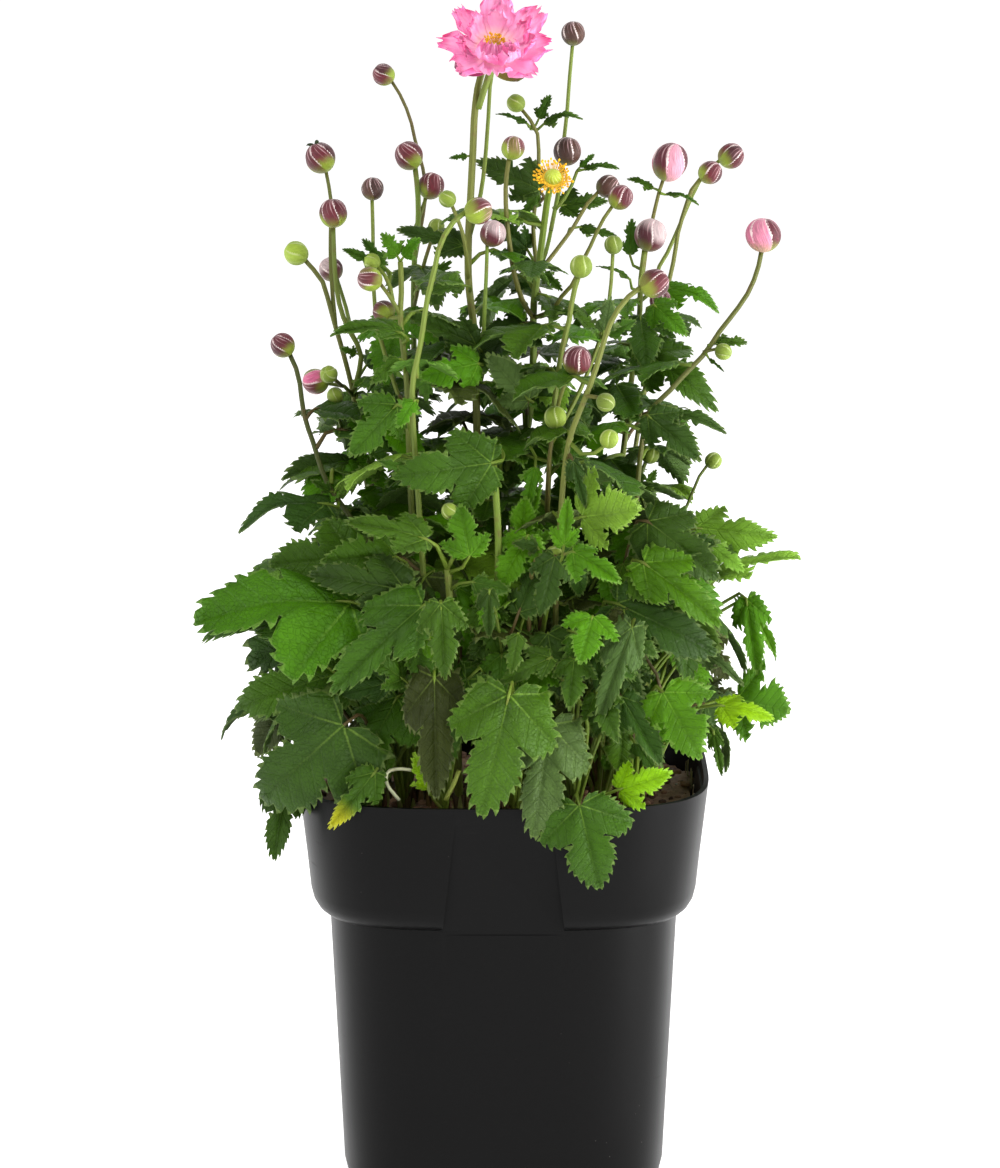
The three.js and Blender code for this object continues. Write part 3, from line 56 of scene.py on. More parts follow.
bl_info = {
    "name": "Potted Japanese anemone",
    "version": (1, 0, 0),
    "blender": (4, 5, 0),
    "location": "View3D > Sidebar > Anemone",
    "description": "Dresses the potted anemone's solids as leaves, stems, buds, bloom, pot and soil",
    "category": "Object",
}

# All lengths below are millimetres, and MM turns them into Blender's metres.
MM = 0.001
UP = Vector((0, 0, 1))

# The view in which the tables are written: a place is [right, up, near], how far right and how high it
# looks from the front, and how far in front of the pot's middle it stands.
VIEW_DISTANCE = 2540
VIEW_TILT = math.radians(10.1)
VIEW_HEIGHT = 269
VIEW_SIDE = -1.6
TABLE_MIDDLE = (-3.1, 265)

# The pot and the soil, as in the solids.
POT_HEIGHT = 184.5
RIM_HALF = 93.2
COLLAR_LOW_HALF = 87.8
COLLAR_LOW = 136
BODY_TOP = 126
BODY_TOP_HALF = 79.2
BASE_HALF = 72.7
PLAN_POWER = 3.8
WALL = 2.2
FLOOR = 3
PANEL_TOP = 177
PANEL_TOP_HALF = 21.5
PANEL_LOW_HALF = 27.5
DRAIN_RADIUS = 5
DRAIN_REACH = 52
SOIL_TOP = 172
ROOT_DEPTH = 12
CROWN_RADIUS = 4.2
CROWN_HEIGHT = 8

# How the leaves are set out, as in the solids: the thickest stalk, how far along its blade a leaf without a
# stalk starts, the least length of the bend behind a blade, the length up to which a stalk runs straight,
# and the lengths from which a leaf is big or middling.
PETIOLE_RADIUS = 1.05
SESSILE = 0.16
NECK = 3
SHORT_STALK = 45
BIG_FROM = 38
MID_FROM = 20
# How far a leaf's hub and tip may have been moved nearer or further, and how far aside its stalk may bend.
SHIFTS = [
    (0, 0), (3, 3), (-3, -3), (6, 6), (-6, -6), (0, 6), (6, 0), (0, -6), (-6, 0), (9, 9), (-9, -9),
    (12, 12), (-12, -12), (4, 12), (12, 4), (-4, -12), (-12, -4), (16, 16), (-16, -16), (20, 20), (-20, -20),
]
BOWS = [0, 5, -5, 10, -10, 16, -16]

# The hearts of the open and the spent flower in the tables' view, and the directions that they face.
BLOOM_HEART = (-5.5, 513, 10)
BLOOM_AXIS = Vector((0.06, -0.8, 0.6)).normalized()
SPENT_HEART = (21, 453, 16)
SPENT_AXIS = Vector((0.1, -0.76, 0.64)).normalized()
SPENT_RADIUS = 3.9

# The turn between two neighbours that are spread evenly round a middle, in degrees and in radians, and a
# whole turn for random waves.
GOLDEN_DEGREES = 137.5
GOLDEN_ANGLE = 2.39996
ROUND = 6.28


def leaf_at(hub, tip, root=None, **looks):
    """A leaf of the tables: its blade's foot and tip, and the place where its stalk leaves the stem.

    wide is its width by its length, face the degrees by which it looks up, bow and fold how it bends along
    and across, lift how high its stalk arches, and tone its colour.
    """
    leaf = dict(looks, hub=hub, tip=tip)
    return dict(leaf, root=root) if root else leaf


# Stems and tufts by node. root is where the crown stands, [right, near] from the pot's middle. courses are
# the places that the stem and then its side stalks run through, with a radius. A bud on a course's end is
# [place, radius, node], where an empty node means that it belongs to the stem's own node.
STEMS = dict(
  stem_bloom=dict(root=[-12, -4], courses=[
    dict(to=[[-12, 230, 0], [-13, 300, 2], [-14, 350, 4], [-15, 382, 5], [-17.5, 405, 6], [-17.5, 425, 6],
      [-16.5, 445, 5], [-15.5, 465, 3], [-14.5, 485, 0], [-12, 500, -3], [-8.5, 507, -2]], radius=1.9),
    dict(to=[[-17.5, 425, 6], [-12, 445, -2], [-10, 460, -8], [-8.5, 480, -14], [-7, 500, -20],
      [-5, 506, -22]], bud=[[-3, 512, -24], 5.2, ""]),
    dict(to=[[-14, 350, 4], [-11, 376, 12], [-10, 395, 14], [-9.3, 410, 14], [-9.5, 421, 14]],
      bud=[[-6.3, 427, 14], 5.8, "bud_12"]),
    dict(to=[[-17.5, 405, 6], [-19, 422, 16], [-21, 430, 18], [-24, 439, 18]],
      bud=[[-27, 443, 18], 3.8, ""]),
  ], leaves=[
    leaf_at([-14, 375, 22], [-46, 390, 22], [-14.5, 366, 5], wide=0.5, face=20, tone="dark"),
    leaf_at([-13, 367, 32], [-40, 361, 40], [-14, 350, 4], face=8, tone="bright"),
    leaf_at([-19, 403, 18], [-38, 400, 24], [-17, 400, 6], wide=0.7),
    leaf_at([-20, 421, 0], [-50, 428, -6], [-17.5, 420, 6], wide=0.5, face=35, tone="dark"),
    leaf_at([-16.5, 463, 3], [-26, 462, 6], wide=0.6),
    leaf_at([-14, 372, -10], [-6, 366, -46], [-14, 355, 4], face=80, tone="dark"),
    leaf_at([-20, 340, -12], [-28, 336, -50], [-13, 320, 2], face=70, tone="dark"),
  ]),
  stem_left_front=dict(root=[-30, 36], courses=[
    dict(to=[[-36, 240, 44], [-40, 300, 52], [-43, 357, 56], [-41, 368, 56], [-39, 378, 56],
      [-36, 398, 56], [-33, 410, 56], [-31, 420, 56], [-28, 427, 56], [-23, 434, 55], [-19.5, 437, 54]],
      bud=[[-13, 437.5, 53], 6, "bud_11"], radius=1.4),
  ], leaves=[
    leaf_at([-50, 348, 50], [-72, 324, 56], [-42, 330, 55], face=8),
    leaf_at([-42, 350, 62], [-50, 337, 66], [-42, 344, 55], wide=1, tone="bright"),
    leaf_at([-46, 318, 62], [-58, 322, 66], [-41, 312, 54]),
  ]),
  stem_left_back=dict(root=[-26, -34], courses=[
    dict(to=[[-34, 240, -40], [-40, 300, -44], [-42, 360, -46], [-42.5, 393, -46], [-42, 416, -46],
      [-40.5, 430, -46], [-40.5, 445, -46], [-41.5, 457, -46]], bud=[[-44.6, 463, -46], 6.4, "bud_4"],
      radius=1.5),
    dict(to=[[-40.5, 430, -46], [-37.5, 442, -49]], bud=[[-34.4, 449, -50], 6, "bud_8"]),
    dict(to=[[-42, 416, -46], [-37, 446, -58], [-38, 456, -60], [-41.5, 469, -60], [-44, 480, -60],
      [-48, 490, -60], [-52, 497, -60]], bud=[[-56, 500.5, -60], 5, "bud_3"], radius=0.9),
    dict(to=[[-42.5, 393, -46], [-38, 412, -38], [-35, 424, -36]], bud=[[-32, 430, -35], 3.8, ""]),
  ], leaves=[
    leaf_at([-40, 402, -40], [-26, 414, -34], [-42.4, 398, -46], wide=0.7),
    leaf_at([-42, 352, -56], [-54, 350, -92], [-42, 340, -46], face=80, tone="dark"),
    leaf_at([-38, 372, -34], [-22, 384, -24], [-42, 360, -46], face=20, tone="dark"),
  ]),
  stem_left_inner=dict(root=[-38, 12], courses=[
    dict(to=[[-42, 260, 18], [-45, 340, 24], [-45.5, 358, 26], [-47, 372, 27], [-48.5, 388, 28],
      [-48, 402, 28], [-48.5, 414, 28]], radius=1.5),
    dict(to=[[-48.5, 388, 28], [-52, 396, 30], [-56, 403, 31]], bud=[[-62.3, 406, 31], 5.4, "bud_29"]),
    dict(to=[[-52, 396, 30], [-54, 405, 28], [-57, 410.5, 26]], bud=[[-61.3, 414, 24], 3.8, ""]),
    dict(to=[[-48.5, 388, 28], [-52.5, 385.5, 22]], bud=[[-56, 390.8, 16], 5, "bud_30"]),
    dict(to=[[-45, 340, 24], [-52, 360, 10], [-59, 385, 2], [-60.5, 400, 0], [-61, 430, -2],
      [-61.4, 442, -2]], bud=[[-61, 447.7, -2], 5, "bud_6"]),
  ], leaves=[
    leaf_at([-48, 381, 34], [-80, 380, 38], [-47.6, 376, 27], wide=0.4, face=50, bow=0.14),
    leaf_at([-49, 369, 38], [-62, 358, 44], [-46, 362, 26], wide=0.9),
    leaf_at([-48.4, 414.5, 29], [-57, 427, 32], wide=1.2, face=30, tone="bright"),
    leaf_at([-48.4, 414.5, 28], [-40, 425, 30], wide=1.1, face=30, tone="bright"),
    leaf_at([-56, 412, 28], [-75, 420, 24], [-54, 404, 29], wide=0.4),
    leaf_at([-56, 412, 24], [-66, 425, 18], [-54, 404, 28], wide=0.6),
  ]),
  stem_left=dict(root=[-46, -10], courses=[
    dict(to=[[-52, 240, -14], [-62, 300, -18], [-68, 340, -20], [-69.8, 352, -20], [-71, 358, -20],
      [-74, 370, -20], [-78, 384, -20], [-81, 395, -20], [-84, 405, -20], [-90.5, 414, -20]],
      bud=[[-95.8, 418, -20], 5.4, ""], radius=1.3),
    dict(to=[[-78, 384, -20], [-79.4, 400, -22], [-80.2, 415, -24], [-80.2, 430, -26], [-80, 442, -27],
      [-82, 455, -27]], bud=[[-84.8, 462, -27], 6.8, "bud_5"]),
    dict(to=[[-69.8, 352, -20], [-66.4, 372, -12], [-70.5, 380, -10], [-75, 390, -8], [-77.6, 402, -7],
      [-78.5, 415, -7], [-79, 429, -7]], bud=[[-79, 436.4, -7], 6.3, "bud_7"], radius=1.2),
    dict(to=[[-70.5, 380, -10], [-73, 392, -30], [-76, 404, -36]],
      bud=[[-80, 410.5, -38], 5.4, "bud_27"]),
    dict(to=[[-69.8, 352, -20], [-75, 357, -14], [-80, 357.5, -12]],
      bud=[[-87, 358.7, -12], 5.8, "bud_32"]),
    dict(to=[[-75, 357, -14], [-78, 359.5, -6]], bud=[[-81, 361.8, 0], 4, ""]),
    dict(to=[[-68, 340, -20], [-74.5, 335, -8], [-76.6, 343, -6]], bud=[[-78, 352, -5], 3.8, ""]),
  ], leaves=[
    leaf_at([-62, 320, -8], [-102, 315, -2], [-64, 308, -18], wide=0.5, face=62, bow=0.1, tone="dark"),
    leaf_at([-67, 371, -12], [-76, 374, -8], wide=0.9),
    leaf_at([-64, 366, -24], [-52, 376, -18], [-68.6, 356, -19], wide=0.9, tone="dark"),
    leaf_at([-60, 348, -16], [-50, 356, -4], [-67, 338, -20], wide=0.9, tone="dark"),
    leaf_at([-70, 340, -32], [-84, 338, -64], [-66, 325, -19], face=75, tone="dark"),
    leaf_at([-58, 318, 8], [-71, 315, 18], [-64, 310, -18], wide=0.9),
  ]),
  stem_left_outer=dict(root=[-52, 14], courses=[
    dict(to=[[-58, 240, 18], [-70, 294, 20], [-74, 300, 20], [-79, 307, 19], [-82, 312, 18],
      [-85, 320, 17], [-88, 330, 16], [-92, 342, 15], [-93.6, 352, 15], [-95, 362, 15],
      [-98.3, 370.5, 15]], bud=[[-102, 375.4, 15], 5.4, "bud_31"], radius=1.3),
  ], leaves=[
    leaf_at([-82, 302, 26], [-122, 290, 22], [-76, 303, 20], wide=0.55, face=62, bow=0.16, tone="dark"),
    leaf_at([-79, 307, 20], [-89, 313, 24]),
    leaf_at([-79, 307, 19], [-70, 316, 15]),
  ]),
  stem_centre=dict(root=[4, -14], courses=[
    dict(to=[[-2, 235, -13], [-3, 290, -12], [-2, 314, -12], [4, 326, -13], [9, 336, -14], [11, 352, -15],
      [12, 372, -16], [12, 388, -16], [12.5, 398, -16], [14, 408, -15], [15.5, 420, -13], [17, 432, -9],
      [18.5, 443, -2], [20.3, 450, 8], [20.8, 451.8, 12.5]], radius=1.8),
    dict(to=[[12, 388, -16], [8, 394, -10], [5, 402, -4], [3, 410, 0], [1.5, 420, 3], [0, 432, 5],
      [-0.5, 450, 6], [0.5, 460.5, 6]], bud=[[2.8, 466.6, 6], 5.2, "bud_13"], radius=1.2),
    dict(to=[[14, 408, -15], [18, 419, -26], [20, 428, -34], [22, 438, -38], [24, 447, -40],
      [25.4, 457, -42]], bud=[[27.5, 465, -42], 6.3, "bud_14"]),
    dict(to=[[20, 428, -34], [24, 450, -54], [26, 470, -58], [27.5, 484, -58], [28.5, 498, -58],
      [29.8, 512, -58]], bud=[[30.3, 519.5, -58], 5.4, "bud_1"]),
    dict(to=[[14, 408, -15], [12, 430, -24], [14.2, 452, -26], [14.5, 465, -27], [13.5, 475, -28],
      [11, 479, -28], [8, 483, -28]], bud=[[4.2, 487.3, -28], 4.1, ""]),
    dict(to=[[14, 408, -15], [20, 416, -22], [26, 424, -28], [31, 431, -32], [36, 440, -36],
      [41, 446, -38]], bud=[[46, 448.8, -39], 5.2, "bud_15"]),
    dict(to=[[12, 388, -16], [21, 392, -8], [25, 398, -5], [31, 405, -3], [34, 413, -2], [38, 421, -1],
      [43, 432, 0], [47, 438.5, 0]], bud=[[51.7, 443.8, 0], 5.5, "bud_16"]),
    dict(to=[[22, 438, -38], [28, 446, -41], [32, 456, -42]], radius=0.9),
  ], leaves=[
    leaf_at([15, 447, -32], [-14, 461, -26], [13.4, 440, -24], wide=0.65, tone="dark"),
    leaf_at([14, 446, -20], [5, 430, -14], [13, 442, -24], wide=0.6),
    leaf_at([25, 440, -46], [46, 442, -52], [22, 438, -38], wide=0.6),
    leaf_at([33, 430, -38], [50, 426, -40], [28, 427, -29], wide=0.45),
    leaf_at([9, 420, -22], [-6, 434, -16], [14, 410, -16], wide=0.7, tone="dark"),
    leaf_at([15, 410, -10], [25, 401, -4]),
    leaf_at([9, 386, -8], [-12, 380, -6], [12, 384, -16], wide=0.7, face=30, tone="dark"),
    leaf_at([18, 389, -6], [33, 391, -2], [13, 388, -15], wide=0.45),
    leaf_at([10, 350, 30], [-9, 371, 34], [9, 336, -14], wide=0.9, face=5, tone="grey"),
    leaf_at([12, 352, 20], [29, 366, 22], [10, 342, -14], face=10, tone="dark"),
    leaf_at([-7, 321, 58], [-52, 315, 62], [-2.6, 304, -12], wide=0.75, face=5, fold=0.1),
    leaf_at([13, 319, 44], [9, 299, 50], [1, 318, -12], wide=0.7, tone="bright"),
    leaf_at([32, 456.5, -42], [51, 457, -44], wide=0.35, face=45, bow=0.14),
    leaf_at([32, 456.5, -42], [40, 464, -46], wide=0.6),
    leaf_at([13.5, 477, -28], [34, 481, -26], wide=0.5, face=45, bow=0.18),
    leaf_at([13.5, 478, -28], [20, 491, -32]),
    leaf_at([12, 477, -28], [-5, 482, -24], wide=0.35, face=40),
    leaf_at([14, 372, -26], [24, 372, -60], [12, 362, -16], face=80, tone="dark"),
    leaf_at([2, 336, -24], [-4, 330, -66], [3, 324, -13], face=72, tone="dark"),
    leaf_at([14, 402, -26], [2, 404, -52], [13, 398, -16], face=75, tone="dark"),
  ]),
  stem_right_front=dict(root=[26, 40], courses=[
    dict(to=[[22, 240, 50], [24, 290, 58], [28, 330, 62], [32, 342, 62], [36, 352, 62], [40, 363, 62],
      [43, 373, 62], [46, 383, 62], [50, 391, 62], [55, 397.5, 61], [60, 402, 60]],
      bud=[[67, 404, 58], 6.4, "bud_23"], radius=1.4),
    dict(to=[[36, 352, 62], [40, 353.5, 64]], bud=[[45, 349, 66], 4.1, ""]),
    dict(to=[[28, 330, 62], [36, 324, 66], [43, 325, 68]], bud=[[46.6, 332, 69], 4.1, ""]),
  ], leaves=[
    leaf_at([34, 296, 74], [61, 300, 80], [24, 288, 58], wide=1.3, face=5, tone="pale"),
    leaf_at([30, 322, 70], [36, 300, 72], [27, 322, 61], wide=0.4, tone="dark"),
  ]),
  stem_right_mid=dict(root=[22, 8], courses=[
    dict(to=[[18, 240, 14], [18, 290, 20], [20, 330, 24], [22, 352, 28], [25.5, 376, 30], [28, 385, 30],
      [30, 398, 30], [32, 405, 30]], bud=[[33.8, 411.8, 30], 5, ""], radius=1.4),
    dict(to=[[20, 330, 24], [25, 354, 42], [28.5, 361, 44]], bud=[[32, 368.3, 46], 6.4, "bud_35"]),
    dict(to=[[18, 290, 20], [19.5, 325, 44], [21, 335.5, 46]], bud=[[22, 342, 46], 5, ""]),
    dict(to=[[20, 330, 24], [34, 356, 14], [44, 384, 12], [46.5, 396, 12], [47.5, 405, 12], [48, 416, 12]],
      bud=[[48.6, 421.8, 12], 4.1, ""]),
  ], leaves=[
    leaf_at([44, 381, 18], [47, 398, 20], [43.6, 380, 12], wide=0.95, face=10, tone="grey"),
    leaf_at([46, 380, 8], [59, 387, 6], [44.4, 384, 12], wide=0.9),
    leaf_at([26, 350, 12], [44, 344, -6], [20, 332, 24], face=60, tone="dark"),
  ]),
  stem_right=dict(root=[40, -18], courses=[
    dict(to=[[46, 240, -24], [50, 300, -32], [54, 335, -36], [57, 362, -37], [59, 375, -38],
      [60.4, 390, -38], [61, 406, -38], [62, 418, -38]], bud=[[65.4, 426.3, -38], 7.3, "bud_22"],
      radius=1.5),
    dict(to=[[61, 406, -38], [63.5, 420, -50], [66.5, 434, -54], [69, 445, -54], [71, 451.5, -53]],
      bud=[[74.3, 460, -52], 8, "bud_19"], stretch=1.15),
    dict(to=[[59, 375, -38], [66, 384, -34], [69, 390.5, -32]], bud=[[70, 396, -31], 5, "bud_24"]),
    dict(to=[[54, 335, -36], [60.5, 351, -34], [64, 357.5, -33]], bud=[[66.5, 361, -32], 3.7, ""]),
  ], leaves=[
    leaf_at([62, 373, -22], [95, 347, -6], [58, 366, -37], wide=0.6, face=25),
    leaf_at([67, 394, -26], [82, 380, -20], [62, 379.5, -37], tone="bright"),
    leaf_at([72, 402, -44], [97, 392, -42], [61, 396, -38], wide=0.5, face=40, bow=0.16, tone="bright"),
    leaf_at([69, 447, -54], [55, 453, -56], wide=0.5, face=35),
    leaf_at([69.2, 446, -54], [87, 440, -56], wide=0.3, face=60, bow=0.14),
    leaf_at([56, 417, -42], [57, 434, -46], [61.4, 410, -38], wide=0.7),
    leaf_at([56, 406, -30], [41, 412, -26], [60.8, 400, -38], wide=0.3, face=50),
    leaf_at([60, 340, -52], [74, 336, -84], [53, 330, -35], face=78, tone="dark"),
    leaf_at([52, 366, -56], [38, 368, -76], [57.6, 366, -37], face=70, tone="dark"),
  ]),
  stem_right_back=dict(root=[36, -46], courses=[
    dict(to=[[44, 240, -56], [54, 300, -66], [62, 350, -72], [68, 385, -74], [72, 398, -74],
      [76, 415, -74], [78, 428, -74], [81, 438, -74], [84, 447, -74], [87.5, 452, -74]],
      bud=[[92.5, 455.3, -74], 5.4, "bud_20"], radius=1.2),
    dict(to=[[68, 385, -74], [67, 402, -82], [69, 411, -84], [73, 418, -85], [77, 427, -86],
      [82, 439, -86], [87, 450, -86], [92, 457, -86], [96, 460.5, -86]],
      bud=[[102, 463, -86], 5.9, "bud_21"]),
  ], leaves=[
    leaf_at([60, 372, -84], [46, 376, -108], [65.6, 370, -73], face=80, tone="dark"),
    leaf_at([74, 388, -80], [88, 384, -96], [69, 387, -74], face=60, tone="dark"),
  ]),
  stem_far_right=dict(root=[54, 8], courses=[
    dict(to=[[56, 240, 8], [58, 290, 8], [65, 345, 8], [72, 352, 8], [80, 361, 6], [90, 371.5, 4],
      [97, 382, 4], [104, 391, 4], [110, 400, 4], [114, 410, 4], [115.8, 418, 4]],
      bud=[[116.8, 426.3, 4], 8, "bud_25"], radius=1.3, stretch=0.98),
    dict(to=[[90, 371.5, 4], [95, 375, 4]], radius=0.8, bud=[[98.5, 372.4, 6], 3.8, ""]),
  ], leaves=[
    leaf_at([64, 343, 22], [88, 322, 32], [64, 336, 8], wide=0.7, face=15, tone="dark"),
    leaf_at([67, 345, 16], [100, 335, 12], [65.4, 343, 8], wide=0.35, face=40, bow=0.12, tone="dark"),
    leaf_at([95, 376, 2], [110, 377, -2], [92.4, 374.6, 4], wide=0.7, face=20),
    leaf_at([90.5, 370.6, 5], [99, 363, 8], wide=0.3),
  ]),
  stem_right_low=dict(root=[56, -16], courses=[
    dict(to=[[60, 240, -16], [66, 280, -14], [63, 300, -12], [60, 311, -12], [61, 319, -12]], radius=1.1,
      bud=[[65.3, 324.8, -12], 4.1, ""]),
    dict(to=[[66, 280, -14], [78, 294, -10], [84, 306, -8], [86.5, 313, -8], [89.8, 319.5, -8]],
      bud=[[94, 322, -8], 3.8, ""], radius=0.8),
  ], leaves=[
    leaf_at([62, 308, -4], [68, 318, -6], [62, 303, -12]),
  ]),
)

TUFTS = dict(
  tuft_left_low=dict(root=[-56, 34], leaves=[
    leaf_at([-74, 200, 78], [-113, 164, 70], wide=1.1, fold=0.12, tone="dark"),
    leaf_at([-94, 215, 46], [-131, 196, 44], wide=0.55, face=68, bow=0.14, tone="dark"),
    leaf_at([-100, 176, 46], [-106, 137, 48], wide=0.5, face=10, lift=1.6, tone="dark"),
    leaf_at([-60, 178, 84], [-81, 152, 91], wide=0.55, face=10, tone="yellow"),
    leaf_at([-85, 229, 62], [-102, 238, 56], wide=0.9, tone="lime"),
    leaf_at([-88, 220, 50], [-107, 219, 44], wide=0.5, face=35, tone="grey"),
  ]),
  tuft_left_high=dict(root=[-44, 30], leaves=[
    leaf_at([-46, 262, 70], [-90, 270, 66], wide=0.6, tone="dark"),
    leaf_at([-68, 276, 48], [-108, 274, 46], wide=0.9, face=10),
    leaf_at([-71, 257, 66], [-144, 251, 52], wide=0.75, face=50, bow=0.06, tone="bright"),
    leaf_at([-88, 250, 54], [-139, 240, 42], wide=0.45, face=45),
  ]),
  tuft_front_left=dict(root=[-26, 58], leaves=[
    leaf_at([-33, 222, 84], [-32, 166, 96], wide=0.55, face=10, tone="dusky"),
    leaf_at([-30, 256, 90], [-28, 221, 99], wide=0.65, face=12),
    leaf_at([-38, 255, 80], [-80, 215, 90], wide=0.55, face=22),
    leaf_at([-42, 239, 74], [-38, 217, 80], wide=0.95),
    leaf_at([-36, 170, 80], [-42, 186, 84], wide=0.95, lift=0.4, tone="lime"),
  ]),
  stem_low_left=dict(root=[-20, 40], courses=[
    dict(to=[[-24, 230, 56], [-26, 258, 62], [-27, 272, 64]], radius=1.9),
    dict(to=[[-27, 272, 64], [-24, 279, 68], [-23, 286, 69], [-24, 295, 69]],
      bud=[[-26, 298.6, 70], 3.7, ""]),
  ], leaves=[
    leaf_at([-37, 286, 76], [-74, 294, 70], [-27, 272, 64], wide=0.5, face=25),
    leaf_at([-17, 278, 74], [-21, 302, 72], [-27, 270, 64], wide=0.95, face=0, tone="bright"),
    leaf_at([-16, 266, 72], [2, 262, 70], [-26.4, 262, 62], wide=0.9, face=20),
  ]),
  tuft_front=dict(root=[4, 54], leaves=[
    leaf_at([1, 214, 99], [-12, 158, 111], wide=0.85, face=12),
    leaf_at([5, 242, 88], [2, 224, 94], wide=0.9),
    leaf_at([20, 231, 82], [-3, 219, 88], wide=0.6, face=20),
    leaf_at([19, 200, 88], [12, 148, 100], wide=0.72, face=10, tone="grey"),
    leaf_at([-8, 262, 82], [-8, 240, 86], wide=0.5, tone="dark"),
  ]),
  tuft_front_right=dict(root=[30, 58], leaves=[
    leaf_at([33, 163, 99], [42, 124, 103], wide=1, face=8, lift=1.5),
    leaf_at([39, 250, 88], [33, 228, 98], wide=1.1, face=12, fold=0.1, tone="bright"),
    leaf_at([32, 230, 78], [29, 207, 82], wide=0.65, tone="dark"),
    leaf_at([40, 235, 72], [45, 198, 78], wide=0.45, tone="dark"),
    leaf_at([51, 170, 88], [75, 178, 92], wide=0.85, face=10, lift=0.6, tone="lime"),
    leaf_at([57, 245, 84], [42, 202, 92], wide=0.42, tone="grey"),
  ]),
  tuft_right_low=dict(root=[58, 36], leaves=[
    leaf_at([71, 215, 84], [88, 184, 92], wide=1.05, face=10, tone="bright"),
    leaf_at([97, 209, 60], [122, 203, 58], wide=0.6, face=30, tone="lime"),
    # This leaf's bright tone is painted light: it lifts a leaf that stands in shade, facing away from the
    # lamps.
    leaf_at([105, 212, 38], [129, 206, 40], wide=1.5, face=5, tone="bright"),
    leaf_at([94, 197, 68], [98, 176, 72], wide=0.35),
    leaf_at([88, 234, 50], [108, 218, 52], wide=0.4, face=45, tone="grey"),
    leaf_at([52, 213, 82], [71, 180, 86], wide=0.5, tone="dark"),
    leaf_at([58, 192, 72], [68, 178, 76]),
  ]),
  tuft_right_high=dict(root=[42, 26], leaves=[
    leaf_at([64, 294, 58], [96, 268, 68], face=18, tone="dark"),
    leaf_at([62, 275, 72], [97, 246, 82], wide=0.6, face=22, tone="bright"),
    leaf_at([86, 291, 34], [123, 287, 38], wide=0.7, face=10, tone="pale"),
    leaf_at([97, 270, 44], [135, 277, 42], wide=0.4, face=62, tone="pale"),
    leaf_at([92, 283, 50], [108, 271, 54], tone="pale"),
    leaf_at([50, 256, 72], [96, 233, 76], wide=0.7, face=18, tone="dark"),
    # The next two leaves' bright tone is painted light: it lifts leaves that stand in shade, facing away from
    # the lamps.
    leaf_at([109, 258, 28], [114, 223, 34], wide=0.5, face=10, tone="bright"),
    leaf_at([110, 255, 14], [123, 230, 16], wide=0.35, face=50, tone="bright"),
    leaf_at([54, 243, 76], [69, 231, 80], wide=0.9, tone="dark"),
  ]),
  tuft_inner=dict(root=[10, 38], leaves=[
    leaf_at([26, 283, 80], [28, 305, 81], wide=0.6, face=5, tone="bright"),
    leaf_at([30, 280, 85], [52, 266, 92], wide=0.68, face=26, tone="bright"),
    leaf_at([22, 278, 76], [15, 250, 80], wide=0.75, tone="dark"),
    leaf_at([14, 282, 66], [3, 284, 70], wide=1, tone="dark"),
  ], courses=[
    dict(to=[[10, 240, 56], [10, 255, 60], [11, 268, 64], [13, 276, 68], [17, 279, 70]], radius=1.2,
      bud=[[21.5, 278.8, 72], 3.7, ""]),
  ]),
)

# The side and back tufts: one set of leaves, [up, near] at hub and tip, turned about the pot's middle.
BACK_ROWS = [
  dict(across=-26, hub=[196, 84], tip=[158, 102], wide=0.8),
  dict(across=22, hub=[206, 86], tip=[170, 108], wide=0.9),
  dict(across=-4, hub=[236, 84], tip=[200, 112], wide=0.8),
  dict(across=-34, hub=[250, 70], tip=[226, 98], wide=0.75),
  dict(across=30, hub=[262, 64], tip=[240, 96], wide=0.75),
  dict(across=0, hub=[288, 54], tip=[272, 92], wide=0.8),
]
BACK_TURNS = dict(
  tuft_side_right=100, tuft_back_right=135, tuft_back=178, tuft_back_left=232, tuft_side_left=270,
)
BACK_REACH = 46


def seen(place, turn=0):
    """The place in the model, in millimetres, of a table place turned about the pot's middle."""
    right, up, near = place
    cos, sin = math.cos(VIEW_TILT), math.sin(VIEW_TILT)
    rise = (up - TABLE_MIDDLE[1]) * cos
    reach = (VIEW_DISTANCE * cos - near) / (VIEW_DISTANCE * cos + rise * sin)
    height = VIEW_HEIGHT + VIEW_DISTANCE * sin + reach * (rise * cos - VIEW_DISTANCE * sin)
    spot = Vector((VIEW_SIDE + reach * (right - TABLE_MIDDLE[0]), -near, height))
    return turned(spot, turn)


def turned(spot, degrees):
    """The spot turned about the pot's middle."""
    angle = math.radians(degrees)
    cos, sin = math.cos(angle), math.sin(angle)
    return Vector((spot.x * cos - spot.y * sin, spot.x * sin + spot.y * cos, spot.z))


def back_tufts():
    """The side and back tufts, set out by the same seeded rule as the solids."""
    seed = 11

    def draw():
        nonlocal seed
        seed = seed * 16807 % 2147483647
        return seed / 2147483647 - 0.5

    tufts = {}
    for name, turn in BACK_TURNS.items():
        leaves = []
        for row in BACK_ROWS:
            across = row["across"] + 8 * draw()
            lean = 26 * draw()
            hub = [across, row["hub"][0] + 6 * draw(), row["hub"][1] + 6 * draw()]
            tip = [across + lean, row["tip"][0] + 10 * draw(), row["tip"][1] + 6 * draw()]
            leaves.append(dict(turn=turn, hub=hub, tip=tip, wide=row["wide"], face=20))
        tufts[name] = dict(turn=turn, root=[0, BACK_REACH], leaves=leaves)
    return tufts


